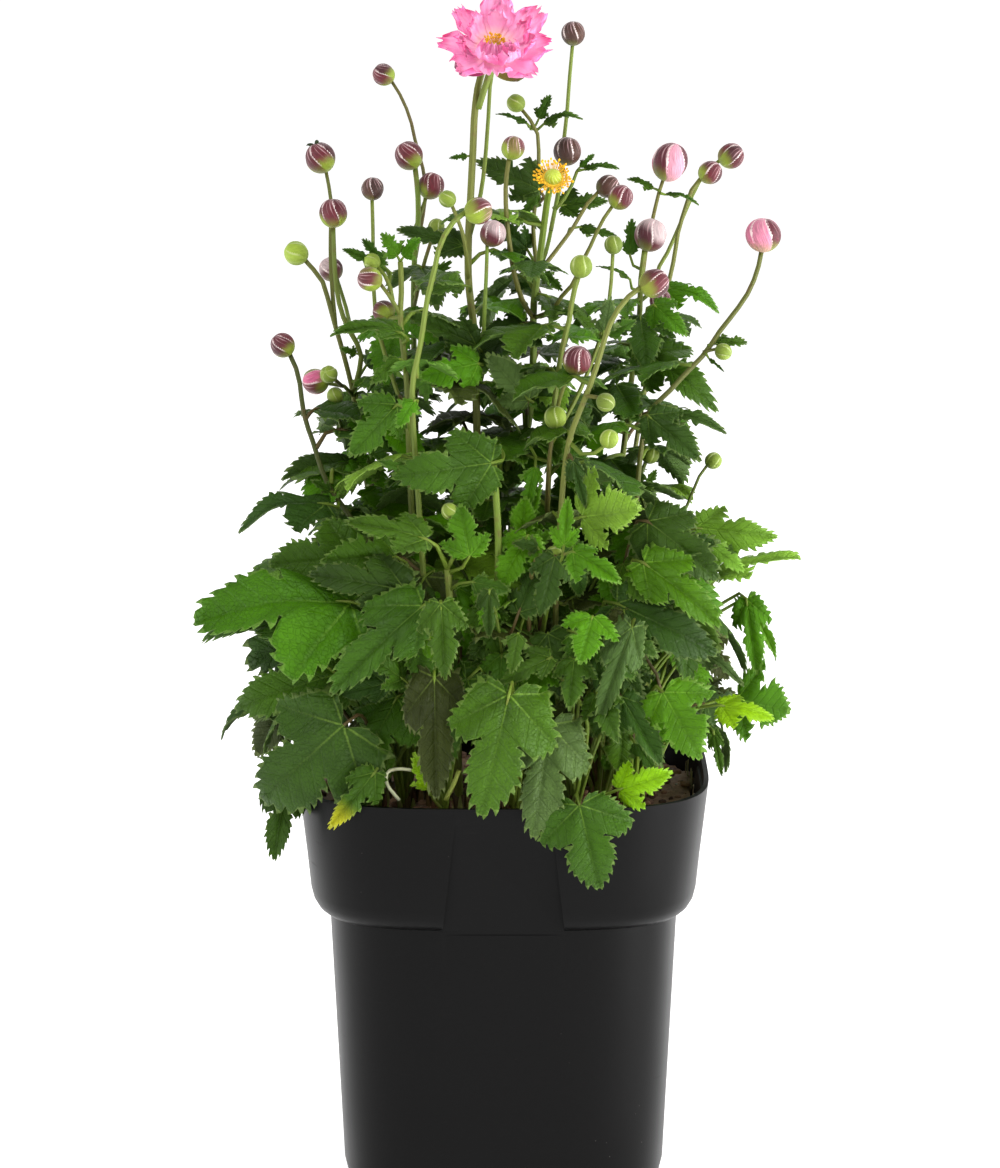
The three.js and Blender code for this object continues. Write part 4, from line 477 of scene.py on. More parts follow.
def smooth_course(points, centripetal=0.25):
    """A function from 0..1 to a point on the smooth curve through the points."""
    points = [Vector(p) for p in points]
    least = 1e-12

    def at(share):
        place = share * (len(points) - 1)
        step = min(int(place), len(points) - 2)
        weight = place - step
        p1, p2 = points[step], points[step + 1]
        p0 = points[step - 1] if step else 2 * p1 - p2
        p3 = points[step + 2] if step + 2 < len(points) else 2 * p2 - p1
        t0, t1, t2 = (max(d.length_squared, least) ** centripetal for d in (p1 - p0, p2 - p1, p3 - p2))
        start = ((p1 - p0) / t0 - (p2 - p0) / (t0 + t1) + (p2 - p1) / t1) * t1
        end = ((p2 - p1) / t1 - (p3 - p1) / (t1 + t2) + (p3 - p2) / t2) * t1
        square = -3 * p1 + 3 * p2 - 2 * start - end
        cube = 2 * p1 - 2 * p2 + start + end
        return p1 + start * weight + square * (weight * weight) + cube * weight**3

    return at


# Into how many straight bits a curve is measured.
CURVE_BITS = 120


def resampled(points, count):
    """The smooth curve through the points in a number of even steps."""
    at = smooth_course(points)
    fine = [at(i / CURVE_BITS) for i in range(CURVE_BITS + 1)]
    lengths = [0.0]
    for a, b in zip(fine, fine[1:]):
        lengths.append(lengths[-1] + (b - a).length)
    marks = np.interp(np.linspace(0, lengths[-1], count + 1), lengths, np.linspace(0, 1, CURVE_BITS + 1))
    return [at(float(mark)) for mark in marks]


def even_points(points, spacing):
    """Points along the smooth curve, as evenly spaced as asked."""
    length = sum((Vector(b) - Vector(a)).length for a, b in zip(points, points[1:]))
    return resampled(points, max(2, round(length / spacing)))


def nearest_on(lines, place):
    """The point of the lines that is nearest to the place."""
    best, least = place, math.inf
    for line in lines:
        for a, b in zip(line, line[1:]):
            spot, share = geometry.intersect_point_line(place, a, b)
            spot = a if share < 0 else b if share > 1 else spot
            if (spot - place).length < least:
                best, least = spot.copy(), (spot - place).length
    return best


# How far inside the solids' box every point stays, in metres.
BOX_SPARE = 0.0002


class Heap:
    """Gathers the faces of one piece: points in millimetres, with paint, blade and vein coordinates."""

    def __init__(self):
        self.points, self.faces, self.kinds = [], [], []
        self.paints, self.rims, self.blades, self.veins = [], [], [], []
        self.size = 0

    def add(self, points, faces, kind, paint, blade=None, veins=None, rim=None):
        """Adds faces of one material kind.

        blade holds a pair for each point and veins a pair for each corner of each face. The one that is
        missing is taken from the other. rim is 1 on an edge.
        """
        points = np.asarray(points, float).reshape(-1, 3)
        self.points.append(points)
        self.faces += [tuple(self.size + i for i in face) for face in faces]
        self.kinds += [kind] * len(faces)
        self.paints.append(np.broadcast_to(np.asarray(paint, float), (len(points), 4)))
        self.rims.append(np.zeros(len(points)) if rim is None else np.asarray(rim, float))
        if blade is None and veins is None:
            blade = np.zeros((len(points), 2))
        if blade is not None:
            blade = np.asarray(blade, float)[[i for face in faces for i in face]]
        veins = blade if veins is None else np.asarray(veins, float).reshape(-1, 2)
        self.blades.append(veins if blade is None else blade)
        self.veins.append(veins)
        self.size += len(points)

    def settle(self, node):
        """Makes the piece for a node of the solids: an object at the origin, its place in its mesh."""
        name = node + "_dressed"
        mesh = bpy.data.meshes.new(name)
        low, high = np.array(CAD_BOX[0]) + BOX_SPARE, np.array(CAD_BOX[1]) - BOX_SPARE
        spots = np.clip(np.concatenate(self.points) * MM, low, high)
        mesh.from_pydata(spots.tolist(), [], self.faces)
        used = sorted(set(self.kinds))
        for kind in used:
            mesh.materials.append(material(kind))
        mesh.polygons.foreach_set("material_index", [used.index(kind) for kind in self.kinds])
        mesh.polygons.foreach_set("use_smooth", [True] * len(self.faces))
        paint = mesh.color_attributes.new("paint", "FLOAT_COLOR", "POINT")
        paint.data.foreach_set("color", np.concatenate(self.paints).astype(np.float32).ravel())
        rim = mesh.attributes.new("rim", "FLOAT", "POINT")
        rim.data.foreach_set("value", np.concatenate(self.rims).astype(np.float32))
        for layer, pairs in (("blade", self.blades), ("veins", self.veins)):
            flat = np.concatenate(pairs).astype(np.float32).ravel()
            mesh.uv_layers.new(name=layer).data.foreach_set("uv", flat)
        mesh.validate()
        mesh.update()
        piece = bpy.data.objects.new(name, mesh)
        bpy.context.collection.objects.link(piece)
        settle_piece(piece, node)


def settle_piece(piece, node):
    """The finished piece stands for a node of the solids."""
    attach(piece, "root")
    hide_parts(node)


def primitive(add, **settings):
    """The points and faces of one of Blender's ready-made forms."""
    add(**settings)
    form = bpy.context.object
    points = np.array([tuple(v.co) for v in form.data.vertices])
    faces = [tuple(face.vertices) for face in form.data.polygons]
    bpy.data.objects.remove(form)
    return points, faces


def ring_frames(line):
    """A forward, right and above direction at each point of a line, turning as little as they can."""
    frames = []
    above = None
    for i in range(len(line)):
        forward = (line[min(i + 1, len(line) - 1)] - line[max(i - 1, 0)]).normalized()
        if above is None:
            above = forward.orthogonal().normalized()
        above = (above - forward * above.dot(forward)).normalized()
        frames.append((forward, forward.cross(above), above))
    return frames


def add_tube(heap, line, radii, kind, paint, sides=8, grooves=0.0):
    """A closed round tube along a line, with a radius at each point, and furrows along it."""
    points, blade = [], []
    for i, (spot, (_, right, above), radius) in enumerate(zip(line, ring_frames(line), radii)):
        for j in range(sides):
            angle = 2 * math.pi * j / sides
            r = radius * (1 - grooves * (j % 2))
            points.append(spot + right * (r * math.cos(angle)) + above * (r * math.sin(angle)))
            blade.append((j / sides, i / max(1, len(line) - 1)))
    faces = []
    for i in range(len(line) - 1):
        for j in range(sides):
            k = (j + 1) % sides
            faces.append((i * sides + j, i * sides + k, (i + 1) * sides + k, (i + 1) * sides + j))
    last = (len(line) - 1) * sides
    faces.append(tuple(range(sides - 1, -1, -1)))
    faces.append(tuple(last + j for j in range(sides)))
    heap.add([tuple(p) for p in points], faces, kind, paint, blade)


# Leaf outlines of the solids, right half, and how many teeth each stretch between their points carries.
# side is the direction of the side veins from the midrib and sinus the direction between them, in degrees,
# notch the outline's point between two lobes, and grain the width of the blade's net.
LEAF_KINDS = dict(
    big=dict(
        outline=[(0.16, -0.12), (0.34, -0.02), (0.45, 0.12), (0.55, 0.35), (0.32, 0.45), (0.2, 0.38),
                 (0.27, 0.58), (0.21, 0.78)],
        teeth=[1, 2, 3, 3, 3, 1, 3, 3, 3],
        side=57,
        sinus=27.8,
        notch=5,
        grain=0.062,
    ),
    mid=dict(
        outline=[(0.17, -0.08), (0.4, 0.08), (0.51, 0.34), (0.2, 0.38), (0.27, 0.6), (0.16, 0.82)],
        teeth=[1, 3, 3, 3, 2, 3, 3],
        side=56,
        sinus=27.8,
        notch=3,
        grain=0.076,
    ),
    small=dict(
        outline=[(0.2, 0.06), (0.38, 0.32), (0.17, 0.4), (0.2, 0.7)],
        teeth=[1, 2, 2, 2, 3],
        side=50,
        sinus=23,
        notch=2,
        grain=0.12,
    ),
)


def kind_of(length):
    """The kind of leaf by its length."""
    return "big" if length > BIG_FROM else "mid" if length > MID_FROM else "small"


# Teeth: how deep at most, in shares of the leaf's length and of their own width, and the corners of one
# tooth as shares of its width and its depth.
TOOTH_DEPTH = 0.108
TOOTH_SLOPE = 0.84
TOOTH_CORNERS = ((0, 0.0), (0.5, 0.72), (0.97, 1.0), (0.9, 0.4))


def toothed_edge(kind, rng):
    """The outline from the notch to the tip, in shares of the leaf's length, its teeth pointing forward."""
    shaken = [(x * rng.uniform(0.9, 1.08), y + rng.uniform(-0.025, 0.025)) for x, y in kind["outline"]]
    x, y = shaken[kind["notch"]]
    shaken[kind["notch"]] = (0.72 * x, y - 0.05)
    corners = [(0.02, 0.0), *shaken, (0, 1)]
    edge = []
    for (ax, ay), (bx, by), count in zip(corners, corners[1:], kind["teeth"]):
        along = Vector((bx - ax, by - ay))
        out = Vector((along.y, -along.x)).normalized()
        deepest = min(TOOTH_DEPTH, TOOTH_SLOPE * along.length / count)
        for k in range(count):
            depth = deepest * rng.uniform(0.75, 1.15) * (1.1 if k % 2 else 0.62)
            if count == 1:
                depth *= 0.3
            for share, lift in TOOTH_CORNERS:
                t = (k + share) / count
                swell = 0.05 * along.length * 4 * t * (1 - t)
                spot = Vector((ax, ay)) + along * t + out * (lift * depth - 0.3 * depth + swell)
                edge.append((max(spot.x, 0.008), spot.y))
    return edge


# How far the points of a leaf's net follow the midrib and the side veins, what its rows cover, and the
# height of a row by its width.
MIDRIB_REACH = 0.93
SIDE_REACH = 0.56
NET_LOW = -0.2
NET_HEIGHT = 1.3
NET_HALF = 0.7
ROW_HEIGHT = 0.866


def net_points(kind, polygon):
    """Points inside the outline, first along the main veins and then in even rows, none too close."""
    grain = kind["grain"]
    inner = []
    for direction in (0, kind["side"], -kind["side"]):
        angle = math.radians(direction)
        reach = MIDRIB_REACH if direction == 0 else SIDE_REACH
        steps = int(reach / grain)
        for i in range(steps):
            r = reach * (i + 0.5) / steps
            inner.append(Vector((r * math.sin(angle), r * math.cos(angle))))
    columns = int(NET_HALF / grain)
    for row in range(int(NET_HEIGHT / (grain * ROW_HEIGHT))):
        for column in range(-columns, columns + 1):
            inner.append(Vector(((column + 0.5 * (row % 2)) * grain, NET_LOW + row * grain * ROW_HEIGHT)))
    kept = []
    for spot in inner:
        if not inside(spot, polygon):
            continue
        if min((spot - p).length for p in polygon) < 0.4 * grain:
            continue
        if any((spot - p).length < 0.55 * grain for p in kept):
            continue
        kept.append(spot)
    return kept


def leaf_template(name, seed):
    """A flat toothed leaf as a fine net: points, triangles, rim, and each corner's place along its vein."""
    kind = LEAF_KINDS[name]
    rng = random.Random(seed)
    right = toothed_edge(kind, rng)
    left = [(-x, y) for x, y in toothed_edge(kind, rng)]
    polygon = [Vector(p) for p in (*right, (0.0, 1.0), *reversed(left))]
    coords = polygon + net_points(kind, polygon)
    points, _, faces, *_ = geometry.delaunay_2d_cdt(coords, [], [list(range(len(polygon)))], 1, 1e-6)
    points = np.array([tuple(p) for p in points])
    net, veins, edges = [], [], set()
    for face in faces:
        a, b, c = (points[i] for i in face)
        turn = (b[0] - a[0]) * (c[1] - a[1]) - (b[1] - a[1]) * (c[0] - a[0])
        face = tuple(face) if turn > 0 else tuple(reversed(face))
        net.append(face)
        middle = points[list(face)].mean(axis=0)
        veins += [vein_place(points[i], near_vein(*middle, kind)) for i in face]
        edges.update(zip(face, face[1:] + face[:1]))
    border = [(a, b) for face in net for a, b in zip(face, face[1:] + face[:1]) if (b, a) not in edges]
    rim = np.zeros(len(points))
    rim[[a for a, _ in border]] = 1
    relief = leaf_relief(points, kind)
    return dict(points=points, net=net, veins=np.array(veins), border=border, rim=rim, relief=relief)


def inside(spot, polygon):
    """Whether a point lies in a polygon, by how often a line from it crosses the edge."""
    odd = False
    for a, b in zip(polygon, polygon[1:] + polygon[:1]):
        if (a.y > spot.y) != (b.y > spot.y) and spot.x < (b.x - a.x) * (spot.y - a.y) / (b.y - a.y) + a.x:
            odd = not odd
    return odd


# The main veins of the lobes beside the stalk: from which direction, and their own, in degrees.
BASE_LOBE_FROM = 82
BASE_LOBE_VEIN = 104
# Side ribs: how far apart they leave a main vein, and how steeply, in shares of the leaf's length.
RIB_SPACING = 0.13
RIB_SLANT = 0.75


def near_vein(x, y, kind):
    """The direction, in degrees from the midrib, of the main vein that a point belongs to."""
    angle = math.degrees(math.atan2(abs(x), y - 0.01))
    if angle < kind["sinus"]:
        return 0
    return math.copysign(kind["side"] if angle < BASE_LOBE_FROM else BASE_LOBE_VEIN, x)


def vein_place(spot, direction):
    """How far out along a main vein a point lies, and how far to its side."""
    angle = math.radians(direction)
    along = spot[0] * math.sin(angle) + spot[1] * math.cos(angle)
    aside = spot[0] * math.cos(angle) - spot[1] * math.sin(angle)
    return along, aside


def leaf_relief(points, kind):
    """How high each point stands in shares of the length: pleats, sunken veins, puffed blade between them."""
    heights = []
    for x, y in points:
        along, aside = vein_place((x, y), near_vein(x, y, kind))
        ribs = math.cos(2 * math.pi * (along - RIB_SLANT * abs(aside)) / RIB_SPACING)
        puff = 0.013 * (1 - math.exp(-((aside / 0.04) ** 2))) * (1 - ribs) * 0.5
        groove = 0.018 * math.exp(-((aside / 0.022) ** 2)) * min(1.0, 4 * math.hypot(x, y))
        heights.append(puff - groove + 0.3 * abs(aside))
    return np.array(heights)


# How many templates each kind of leaf has.
VARIANTS = 3
TEMPLATES = {}


def template(name, number):
    """One of a kind's few flat leaves, made the first time that it is asked for."""
    key = (name, number % VARIANTS)
    if key not in TEMPLATES:
        TEMPLATES[key] = leaf_template(name, 7 + 13 * key[1] + len(name))
    return TEMPLATES[key]


# How far out and how high the middle of a stalk stands between its ends.
STALK_OUT = 0.42
STALK_UP = 0.66


class Blade:
    """Where a leaf's blade stands: its stalk end, directions, length and bend."""

    def __init__(self, leaf):
        turn = leaf.get("turn", 0)
        self.base = leaf["foot"] if "foot" in leaf else seen(leaf["hub"], turn)
        along = (leaf["end"] if "end" in leaf else seen(leaf["tip"], turn)) - self.base
        self.length = along.length
        self.along = along.normalized()
        pitch = math.radians(leaf.get("face", 15))
        face = turned(Vector((0, -math.cos(pitch), math.sin(pitch))), turn)
        self.face = (face - self.along * face.dot(self.along)).normalized()
        self.across = self.along.cross(self.face)
        self.wide = leaf.get("wide", 0.8)
        self.skew = leaf["skew"]
        self.bow = leaf.get("bow", 0.08)
        self.fold = leaf.get("fold", 0.2)

    def points(self, u, v, above):
        """Points of the blade for arrays of shares across and along, and millimetres above the sheet."""
        u, v = np.asarray(u, float), np.asarray(v, float)
        wide = self.wide * (1 + 0.14 * self.skew * np.sign(u))
        drop = 4 * self.bow * v * (1 - v) - self.fold * np.abs(u) * wide - 0.25 * u * u * wide
        return (
            np.array(self.base)
            + np.outer(u * wide * self.length, self.across)
            + np.outer(v * self.length, self.along)
            + np.outer(drop * self.length + above, self.face)
        )

    def stalk(self, leaf, root, bow):
        """The places that the leaf's stalk runs through: root, middle, neck behind the blade, and notch."""
        end = Vector(self.points([0], [0], [0])[0])
        behind = max(NECK, 0.1 * self.length)
        under = -0.6 * behind * max(1, 0.8 / self.wide)
        neck = end - self.along * behind + self.face * under
        if (root - end).length < 1.6 * behind:
            return [root, end]
        if (root - end).length < SHORT_STALK:
            return [root, neck, end]
        side = (neck - root).cross(UP)
        if side.length > 0:
            side.normalize()
        rise = neck.z - root.z
        lift = max(3, 10 - 0.08 * rise) * leaf.get("lift", 1)
        middle = Vector((
            root.x + STALK_OUT * (neck.x - root.x),
            root.y + STALK_OUT * (neck.y - root.y),
            root.z + STALK_UP * rise + lift,
        ))
        return [root, middle + side * bow, neck, end]

    def stalk_radius(self):
        return min(PETIOLE_RADIUS, 0.45 + 0.02 * self.length)


def moved(leaf, shift):
    """The leaf with its hub and its tip shifted nearer."""
    (x, y, hub), (a, b, tip) = leaf["hub"], leaf["tip"]
    return dict(leaf, hub=[x, y, hub + shift[0]], tip=[a, b, tip + shift[1]])


def as_placed(leaf, root, cad):
    """The leaf and its stalk's bow as the solid has them, found by how well its corners fit the solid's."""

    def misfit(spots):
        return sum(cad.find(spot)[2] for spot in spots)

    def blade_misfit(shift):
        blade = Blade(moved(leaf, shift))
        outline = LEAF_KINDS[kind_of(blade.length)]["outline"]
        u = [0] + [side * x for side in (1, -1) for x, _ in outline]
        v = [1] + [y for _ in (1, -1) for _, y in outline]
        return misfit([Vector(p) for p in blade.points(u, v, 0)])

    settled = moved(leaf, min(SHIFTS, key=blade_misfit))
    blade = Blade(settled)
    radius = blade.stalk_radius()

    def stalk_misfit(bow):
        course = blade.stalk(settled, root, bow)[::-1]
        if len(course) < 4:
            return abs(bow)
        above = blade.face
        for i in (0, 1, 2):
            forward = (course[max(i - 1, 0)] - course[i + 1]).normalized()
            above = (above - forward * above.dot(forward)).normalized()
        right = forward.cross(above)
        corners = ((0, 1), (0.87, -0.5), (-0.87, -0.5))
        return misfit([course[2] + right * (x * radius) + above * (y * radius) for x, y in corners])

    return settled, min(BOWS, key=stalk_misfit)


def linear(red, green, blue):
    """A colour as Blender works with it, from the 0 to 255 of a colour picker."""
    return tuple((c / 255) ** 2.2 for c in (red, green, blue))


def tint(red, green, blue):
    """The same as the paint of a whole form, with the fourth value 1."""
    return (*linear(red, green, blue), 1)


LEAF_PAINTS = dict(
    dark=(46, 70, 20),
    mid=(56, 86, 18),
    bright=(68, 112, 10),
    lime=(118, 160, 0),
    grey=(66, 86, 40),
    dusky=(50, 58, 22),
    pale=(102, 140, 42),
    yellow=(170, 164, 30),
)


# From how far inside the solids' box points are pressed back, and where they end at most.
BOX_SOFT = 2.5
BOX_MARGIN = 0.5


def kept_inside(points):
    """Points pressed back softly where they would reach past the solids' box."""
    low, high = np.array(CAD_BOX[0]) / MM + BOX_MARGIN, np.array(CAD_BOX[1]) / MM - BOX_MARGIN
    near, far = low + BOX_SOFT, high - BOX_SOFT
    points = np.where(points < near, low + BOX_SOFT * np.exp((points - low - BOX_SOFT) / BOX_SOFT), points)
    return np.where(points > far, high - BOX_SOFT * np.exp((far - points) / BOX_SOFT), points)


def crumpled(form, rng):
    """How high each point of a leaf stands in shares of its length: relief, waves, twist, drooping ends."""
    u, v = form["points"][:, 0], form["points"][:, 1]
    radius = np.hypot(u, v - 0.05)
    angle = np.arctan2(u, v - 0.02)
    wide_waves = 0.034 * radius * np.sin(6 * angle + ROUND * rng.random())
    waves = wide_waves + 0.022 * radius * np.sin(11 * angle + ROUND * rng.random())
    twist = 0.05 * rng.uniform(-1, 1) * u * (v + 0.3)
    waves += twist + 0.018 * np.sin(8 * v + ROUND * rng.random())
    tip = -0.5 * rng.random() * np.clip(v - 0.5, 0, 1) ** 2
    return form["relief"] + waves + (tip - 0.9 * rng.random() * np.clip(np.abs(u) - 0.26, 0, 1) ** 2)


def leaf_paint(tone, v, rng):
    """The colour of each point, top and then underside, with the fourth value 1 on top and 0 underneath."""
    base = np.array(linear(*LEAF_PAINTS[tone]))
    base = base * rng.uniform(0.85, 1.15) * np.array([rng.uniform(0.9, 1.1), 1, rng.uniform(0.85, 1.15)])
    paint = np.tile([*base, 1.0], (2 * len(v), 1))
    if tone == "yellow":
        paint += (tint(*LEAF_PAINTS["mid"]) - paint) * np.clip((0.86 - np.tile(v, 2)) / 0.3, 0, 1)[:, None]
    paint[len(v):, 3] = 0
    return paint


# Half the thickness of a blade, the straight bits of its stalk, and the tones of stalks.
LEAF_HALF = 0.17
STALK_BIT = 8
STALK_GREEN = (104, 126, 44)
STALK_BROWN = (84, 74, 42)


def add_leaf(heap, leaf, root, bow, number):
    """One leaf: a thin toothed blade with sunken veins, and a stalk that runs into it."""
    blade = Blade(leaf)
    form = template(kind_of(blade.length), number)
    rng = random.Random(number)
    tone = leaf.get("tone", "mid")
    u, v = form["points"][:, 0], form["points"][:, 1]
    middle = kept_inside(blade.points(u, v, crumpled(form, rng) * blade.length))
    half = LEAF_HALF * np.array(blade.face)
    count = len(middle)
    net, border = form["net"], form["border"]
    faces = [*net, *[tuple(count + i for i in reversed(face)) for face in net]]
    faces += [(b, a, count + a, count + b) for a, b in border]
    under = form["veins"].reshape(-1, 3, 2)[:, ::-1].reshape(-1, 2)
    veins = np.concatenate([form["veins"], under, np.tile((0.5, 0.3), (4 * len(border), 1))])
    shares, rim = np.tile(form["points"], (2, 1)), np.tile(form["rim"], 2)
    paint = leaf_paint(tone, v, rng)
    heap.add(np.concatenate([middle + half, middle - half]), faces, "leaf", paint, shares, veins, rim)

    line = even_points(blade.stalk(leaf, root, bow), STALK_BIT)
    steps = len(line) - 1
    line.append(Vector(blade.points([0], [0.09], [-0.2])[0]))
    radii = [blade.stalk_radius() * (1.1 - 0.35 * i / steps) for i in range(steps + 1)] + [0.35]
    stalk = np.array(linear(*STALK_GREEN)) * rng.uniform(0.7, 1.1)
    if tone in ("dusky", "dark") and rng.random() < 0.5:
        stalk = np.array(linear(*STALK_BROWN))
    add_tube(heap, line, radii, "stem", (*stalk, 1.0), 5)


class Wire:
    """An output of a node, on which Python's operators add Math nodes."""

    def __init__(self, bench, socket):
        self.bench, self.socket = bench, socket

    def math(self, operation, *others, clamp=False):
        settings = dict(operation=operation, use_clamp=clamp)
        return self.bench.node("ShaderNodeMath", settings, dict(enumerate((self, *others))))

    def __add__(self, other):
        return self.math("ADD", other)

    def __sub__(self, other):
        return self.math("SUBTRACT", other)

    def __mul__(self, other):
        return self.math("MULTIPLY", other)

    def __truediv__(self, other):
        return self.math("DIVIDE", other)

    def __abs__(self):
        return self.math("ABSOLUTE")

    def part(self):
        """What is left over above the whole number below."""
        return self.math("FRACT")

    def clamped(self):
        return self.math("ADD", 0.0, clamp=True)

    def step(self, start, end):
        """0 at start and 1 at end, smoothly between them."""
        rising = start < end
        values = {"Value": self, "From Min": min(start, end), "From Max": max(start, end),
                  "To Min": 0.0 if rising else 1.0, "To Max": 1.0 if rising else 0.0}
        return self.bench.node("ShaderNodeMapRange", dict(interpolation_type="SMOOTHSTEP"), values)


class Bench:
    """A material in the making: its node tree and its surface shader."""

    def __init__(self, name):
        self.material = bpy.data.materials.new(name)
        self.material.use_nodes = True
        self.tree = self.material.node_tree
        self.surface = self.tree.nodes["Principled BSDF"]

    def node(self, kind, settings=None, values=None, output=0):
        """A node of a type, its settings made first and then the values or links of its inputs."""
        made = self.tree.nodes.new(kind)
        for name, value in (settings or {}).items():
            setattr(made, name, value)
        for name, value in (values or {}).items():
            self.fill(made.inputs[name], value)
        return Wire(self, made.outputs[output])

    def fill(self, socket, value):
        """Links a wire to an input, or sets its value."""
        if isinstance(value, Wire):
            self.tree.links.new(value.socket, socket)
        elif socket.type == "RGBA":
            socket.default_value = (*value[:3], 1)
        else:
            socket.default_value = value

    def attribute(self, name, output=0):
        return self.node("ShaderNodeAttribute", dict(attribute_name=name), output=output)

    def place(self, scale=(1, 1, 1)):
        """Object coordinates in metres, stretched by a scale."""
        where = self.node("ShaderNodeTexCoord", output=3)
        return self.node("ShaderNodeMapping", None, {"Vector": where, "Scale": scale})

    def flat(self, layer, scale=(1, 1, 1)):
        """The coordinates of a layer, stretched by a scale."""
        where = self.node("ShaderNodeUVMap", dict(uv_map=layer))
        return self.node("ShaderNodeMapping", None, {"Vector": where, "Scale": scale})

    def pair(self, layer):
        """The two coordinates of a layer, apart."""
        where = self.node("ShaderNodeUVMap", dict(uv_map=layer))
        return tuple(self.node("ShaderNodeSeparateXYZ", None, {"Vector": where}, i) for i in (0, 1))

    def noise(self, where, scale, detail=3.0, roughness=0.55):
        values = {"Vector": where, "Scale": scale, "Detail": detail, "Roughness": roughness}
        return self.node("ShaderNodeTexNoise", None, values)

    def cells(self, where, scale, feature="F1"):
        return self.node("ShaderNodeTexVoronoi", dict(feature=feature), {"Vector": where, "Scale": scale})

    def mix(self, share, first, second):
        return self.node("ShaderNodeMix", dict(data_type="RGBA"), {0: share, 6: first, 7: second}, 2)

    def shade(self, colour, factor):
        """A colour made lighter or darker by a factor."""
        return self.node("ShaderNodeVectorMath", dict(operation="SCALE"), {0: colour, "Scale": factor})

    def bump(self, height, strength, distance):
        values = {"Height": height, "Strength": strength, "Distance": distance}
        return self.node("ShaderNodeBump", None, values)

    def finish(self, **values):
        """Fills the surface shader's inputs, named in small letters, and gives the material."""
        for name, value in values.items():
            self.fill(self.surface.inputs[name.replace("_", " ").title().replace("Ior", "IOR")], value)
        return self.material


def leaf_material():
    """Green blade with painted shade in the creases of its veins, paler on midrib and edge, with a dull
    underside.
    """
    bench = Bench("leaf_green")
    paint, top = bench.attribute("paint"), bench.attribute("paint", 3)
    rim = bench.attribute("rim", 2)
    along, aside = bench.pair("veins")
    off = abs(aside)
    midrib = off.step(0.012, 0.003) * along.step(1.0, 0.05)
    crease = off.step(0.05, 0.008)
    phase = ((along - off * RIB_SLANT) / RIB_SPACING).part()
    side = abs(phase - 0.5)
    ribs = side.step(0.46, 0.499) * off.step(0.4, 0.02)
    dips = side.step(0.36, 0.49) * off.step(0.46, 0.05)
    blade = bench.flat("blade")
    net = bench.cells(blade, 34, "DISTANCE_TO_EDGE").step(0.07, 0.0)
    patches = bench.noise(bench.place(), 55, 4)
    broad = bench.noise(bench.place(), 16, 2)
    fine = bench.noise(bench.place(), 900, 2)
    colour = bench.shade(paint, patches * 1.1 + broad * 0.9 + 0.08)
    colour = bench.shade(colour, fine * 0.3 + 0.85)
    # Painted shade: the colour darkens in the sunken creases of the main veins, in the dips along the side
    # veins and in the fine net of veinlets.
    colour = bench.mix((crease * 0.2 + dips * 0.06 + net * 0.1).clamped(), colour, bench.shade(paint, 0.45))
    pale = bench.mix(0.35, bench.shade(paint, 1.8), linear(134, 160, 70))
    near_hub = along.step(0.42, 0.0)
    colour = bench.mix((ribs * 0.07 + midrib * (near_hub * 0.55 + 0.2)).clamped(), colour, pale)
    edge = bench.mix(0.5, bench.shade(paint, 1.8), linear(142, 158, 92))
    colour = bench.mix(rim.step(0.8, 1.0) * 0.4, colour, edge)
    under = bench.mix(0.45, bench.shade(colour, 1.25), linear(98, 118, 72))
    colour = bench.mix(top, under, colour)
    height = fine * 0.3 - dips * 0.5 - crease * 0.6 - net * 0.4 + patches * 0.9
    # The faint emission is painted light: a glow that lifts leaves in deep shade, standing in for light
    # shining through them.
    return bench.finish(
        base_color=colour, roughness=patches * 0.25 + 0.34, specular_ior_level=0.16,
        emission_color=colour, emission_strength=0.05, normal=bench.bump(height, 0.8, 0.0009),
    )


def stem_material():
    """Furrowed stalk, its colour from the piece, with darker streaks and a bloom of short down."""
    bench = Bench("stem_green")
    paint = bench.attribute("paint")
    round_about, _ = bench.pair("blade")
    streaks = bench.noise(bench.flat("blade", (24, 3, 1)), 1.0, 3)
    spots = bench.noise(bench.place(), 160, 3)
    colour = bench.shade(paint, streaks * 0.9 + 0.55)
    colour = bench.mix(spots.step(0.56, 0.72) * 0.4, colour, linear(104, 70, 56))
    furrow = abs((round_about * 7).part() - 0.5)
    return bench.finish(
        base_color=colour, roughness=spots * 0.2 + 0.42, specular_ior_level=0.25,
        normal=bench.bump(furrow * 0.8 + streaks * 0.5, 0.5, 0.0005),
    )


def green_bud_material():
    """Small closed bud, yellow-green with paler seams and a silky nap."""
    bench = Bench("green_bud")
    paint = bench.attribute("paint")
    sector, height = bench.pair("blade")
    streaks = bench.noise(bench.flat("blade", (9, 2.2, 1)), 3.0, 4)
    edge = sector.step(0.92, 1.0)
    colour = bench.shade(paint, streaks * 1.1 + height * 0.3 + 0.25)
    colour = bench.mix(edge * height.step(0.2, 0.6) * 0.45, colour, linear(206, 214, 160))
    return bench.finish(
        base_color=colour, roughness=streaks * 0.2 + 0.45, sheen_weight=0.12, specular_ior_level=0.3,
        normal=bench.bump(streaks - edge * 0.4, 0.4, 0.0005),
    )


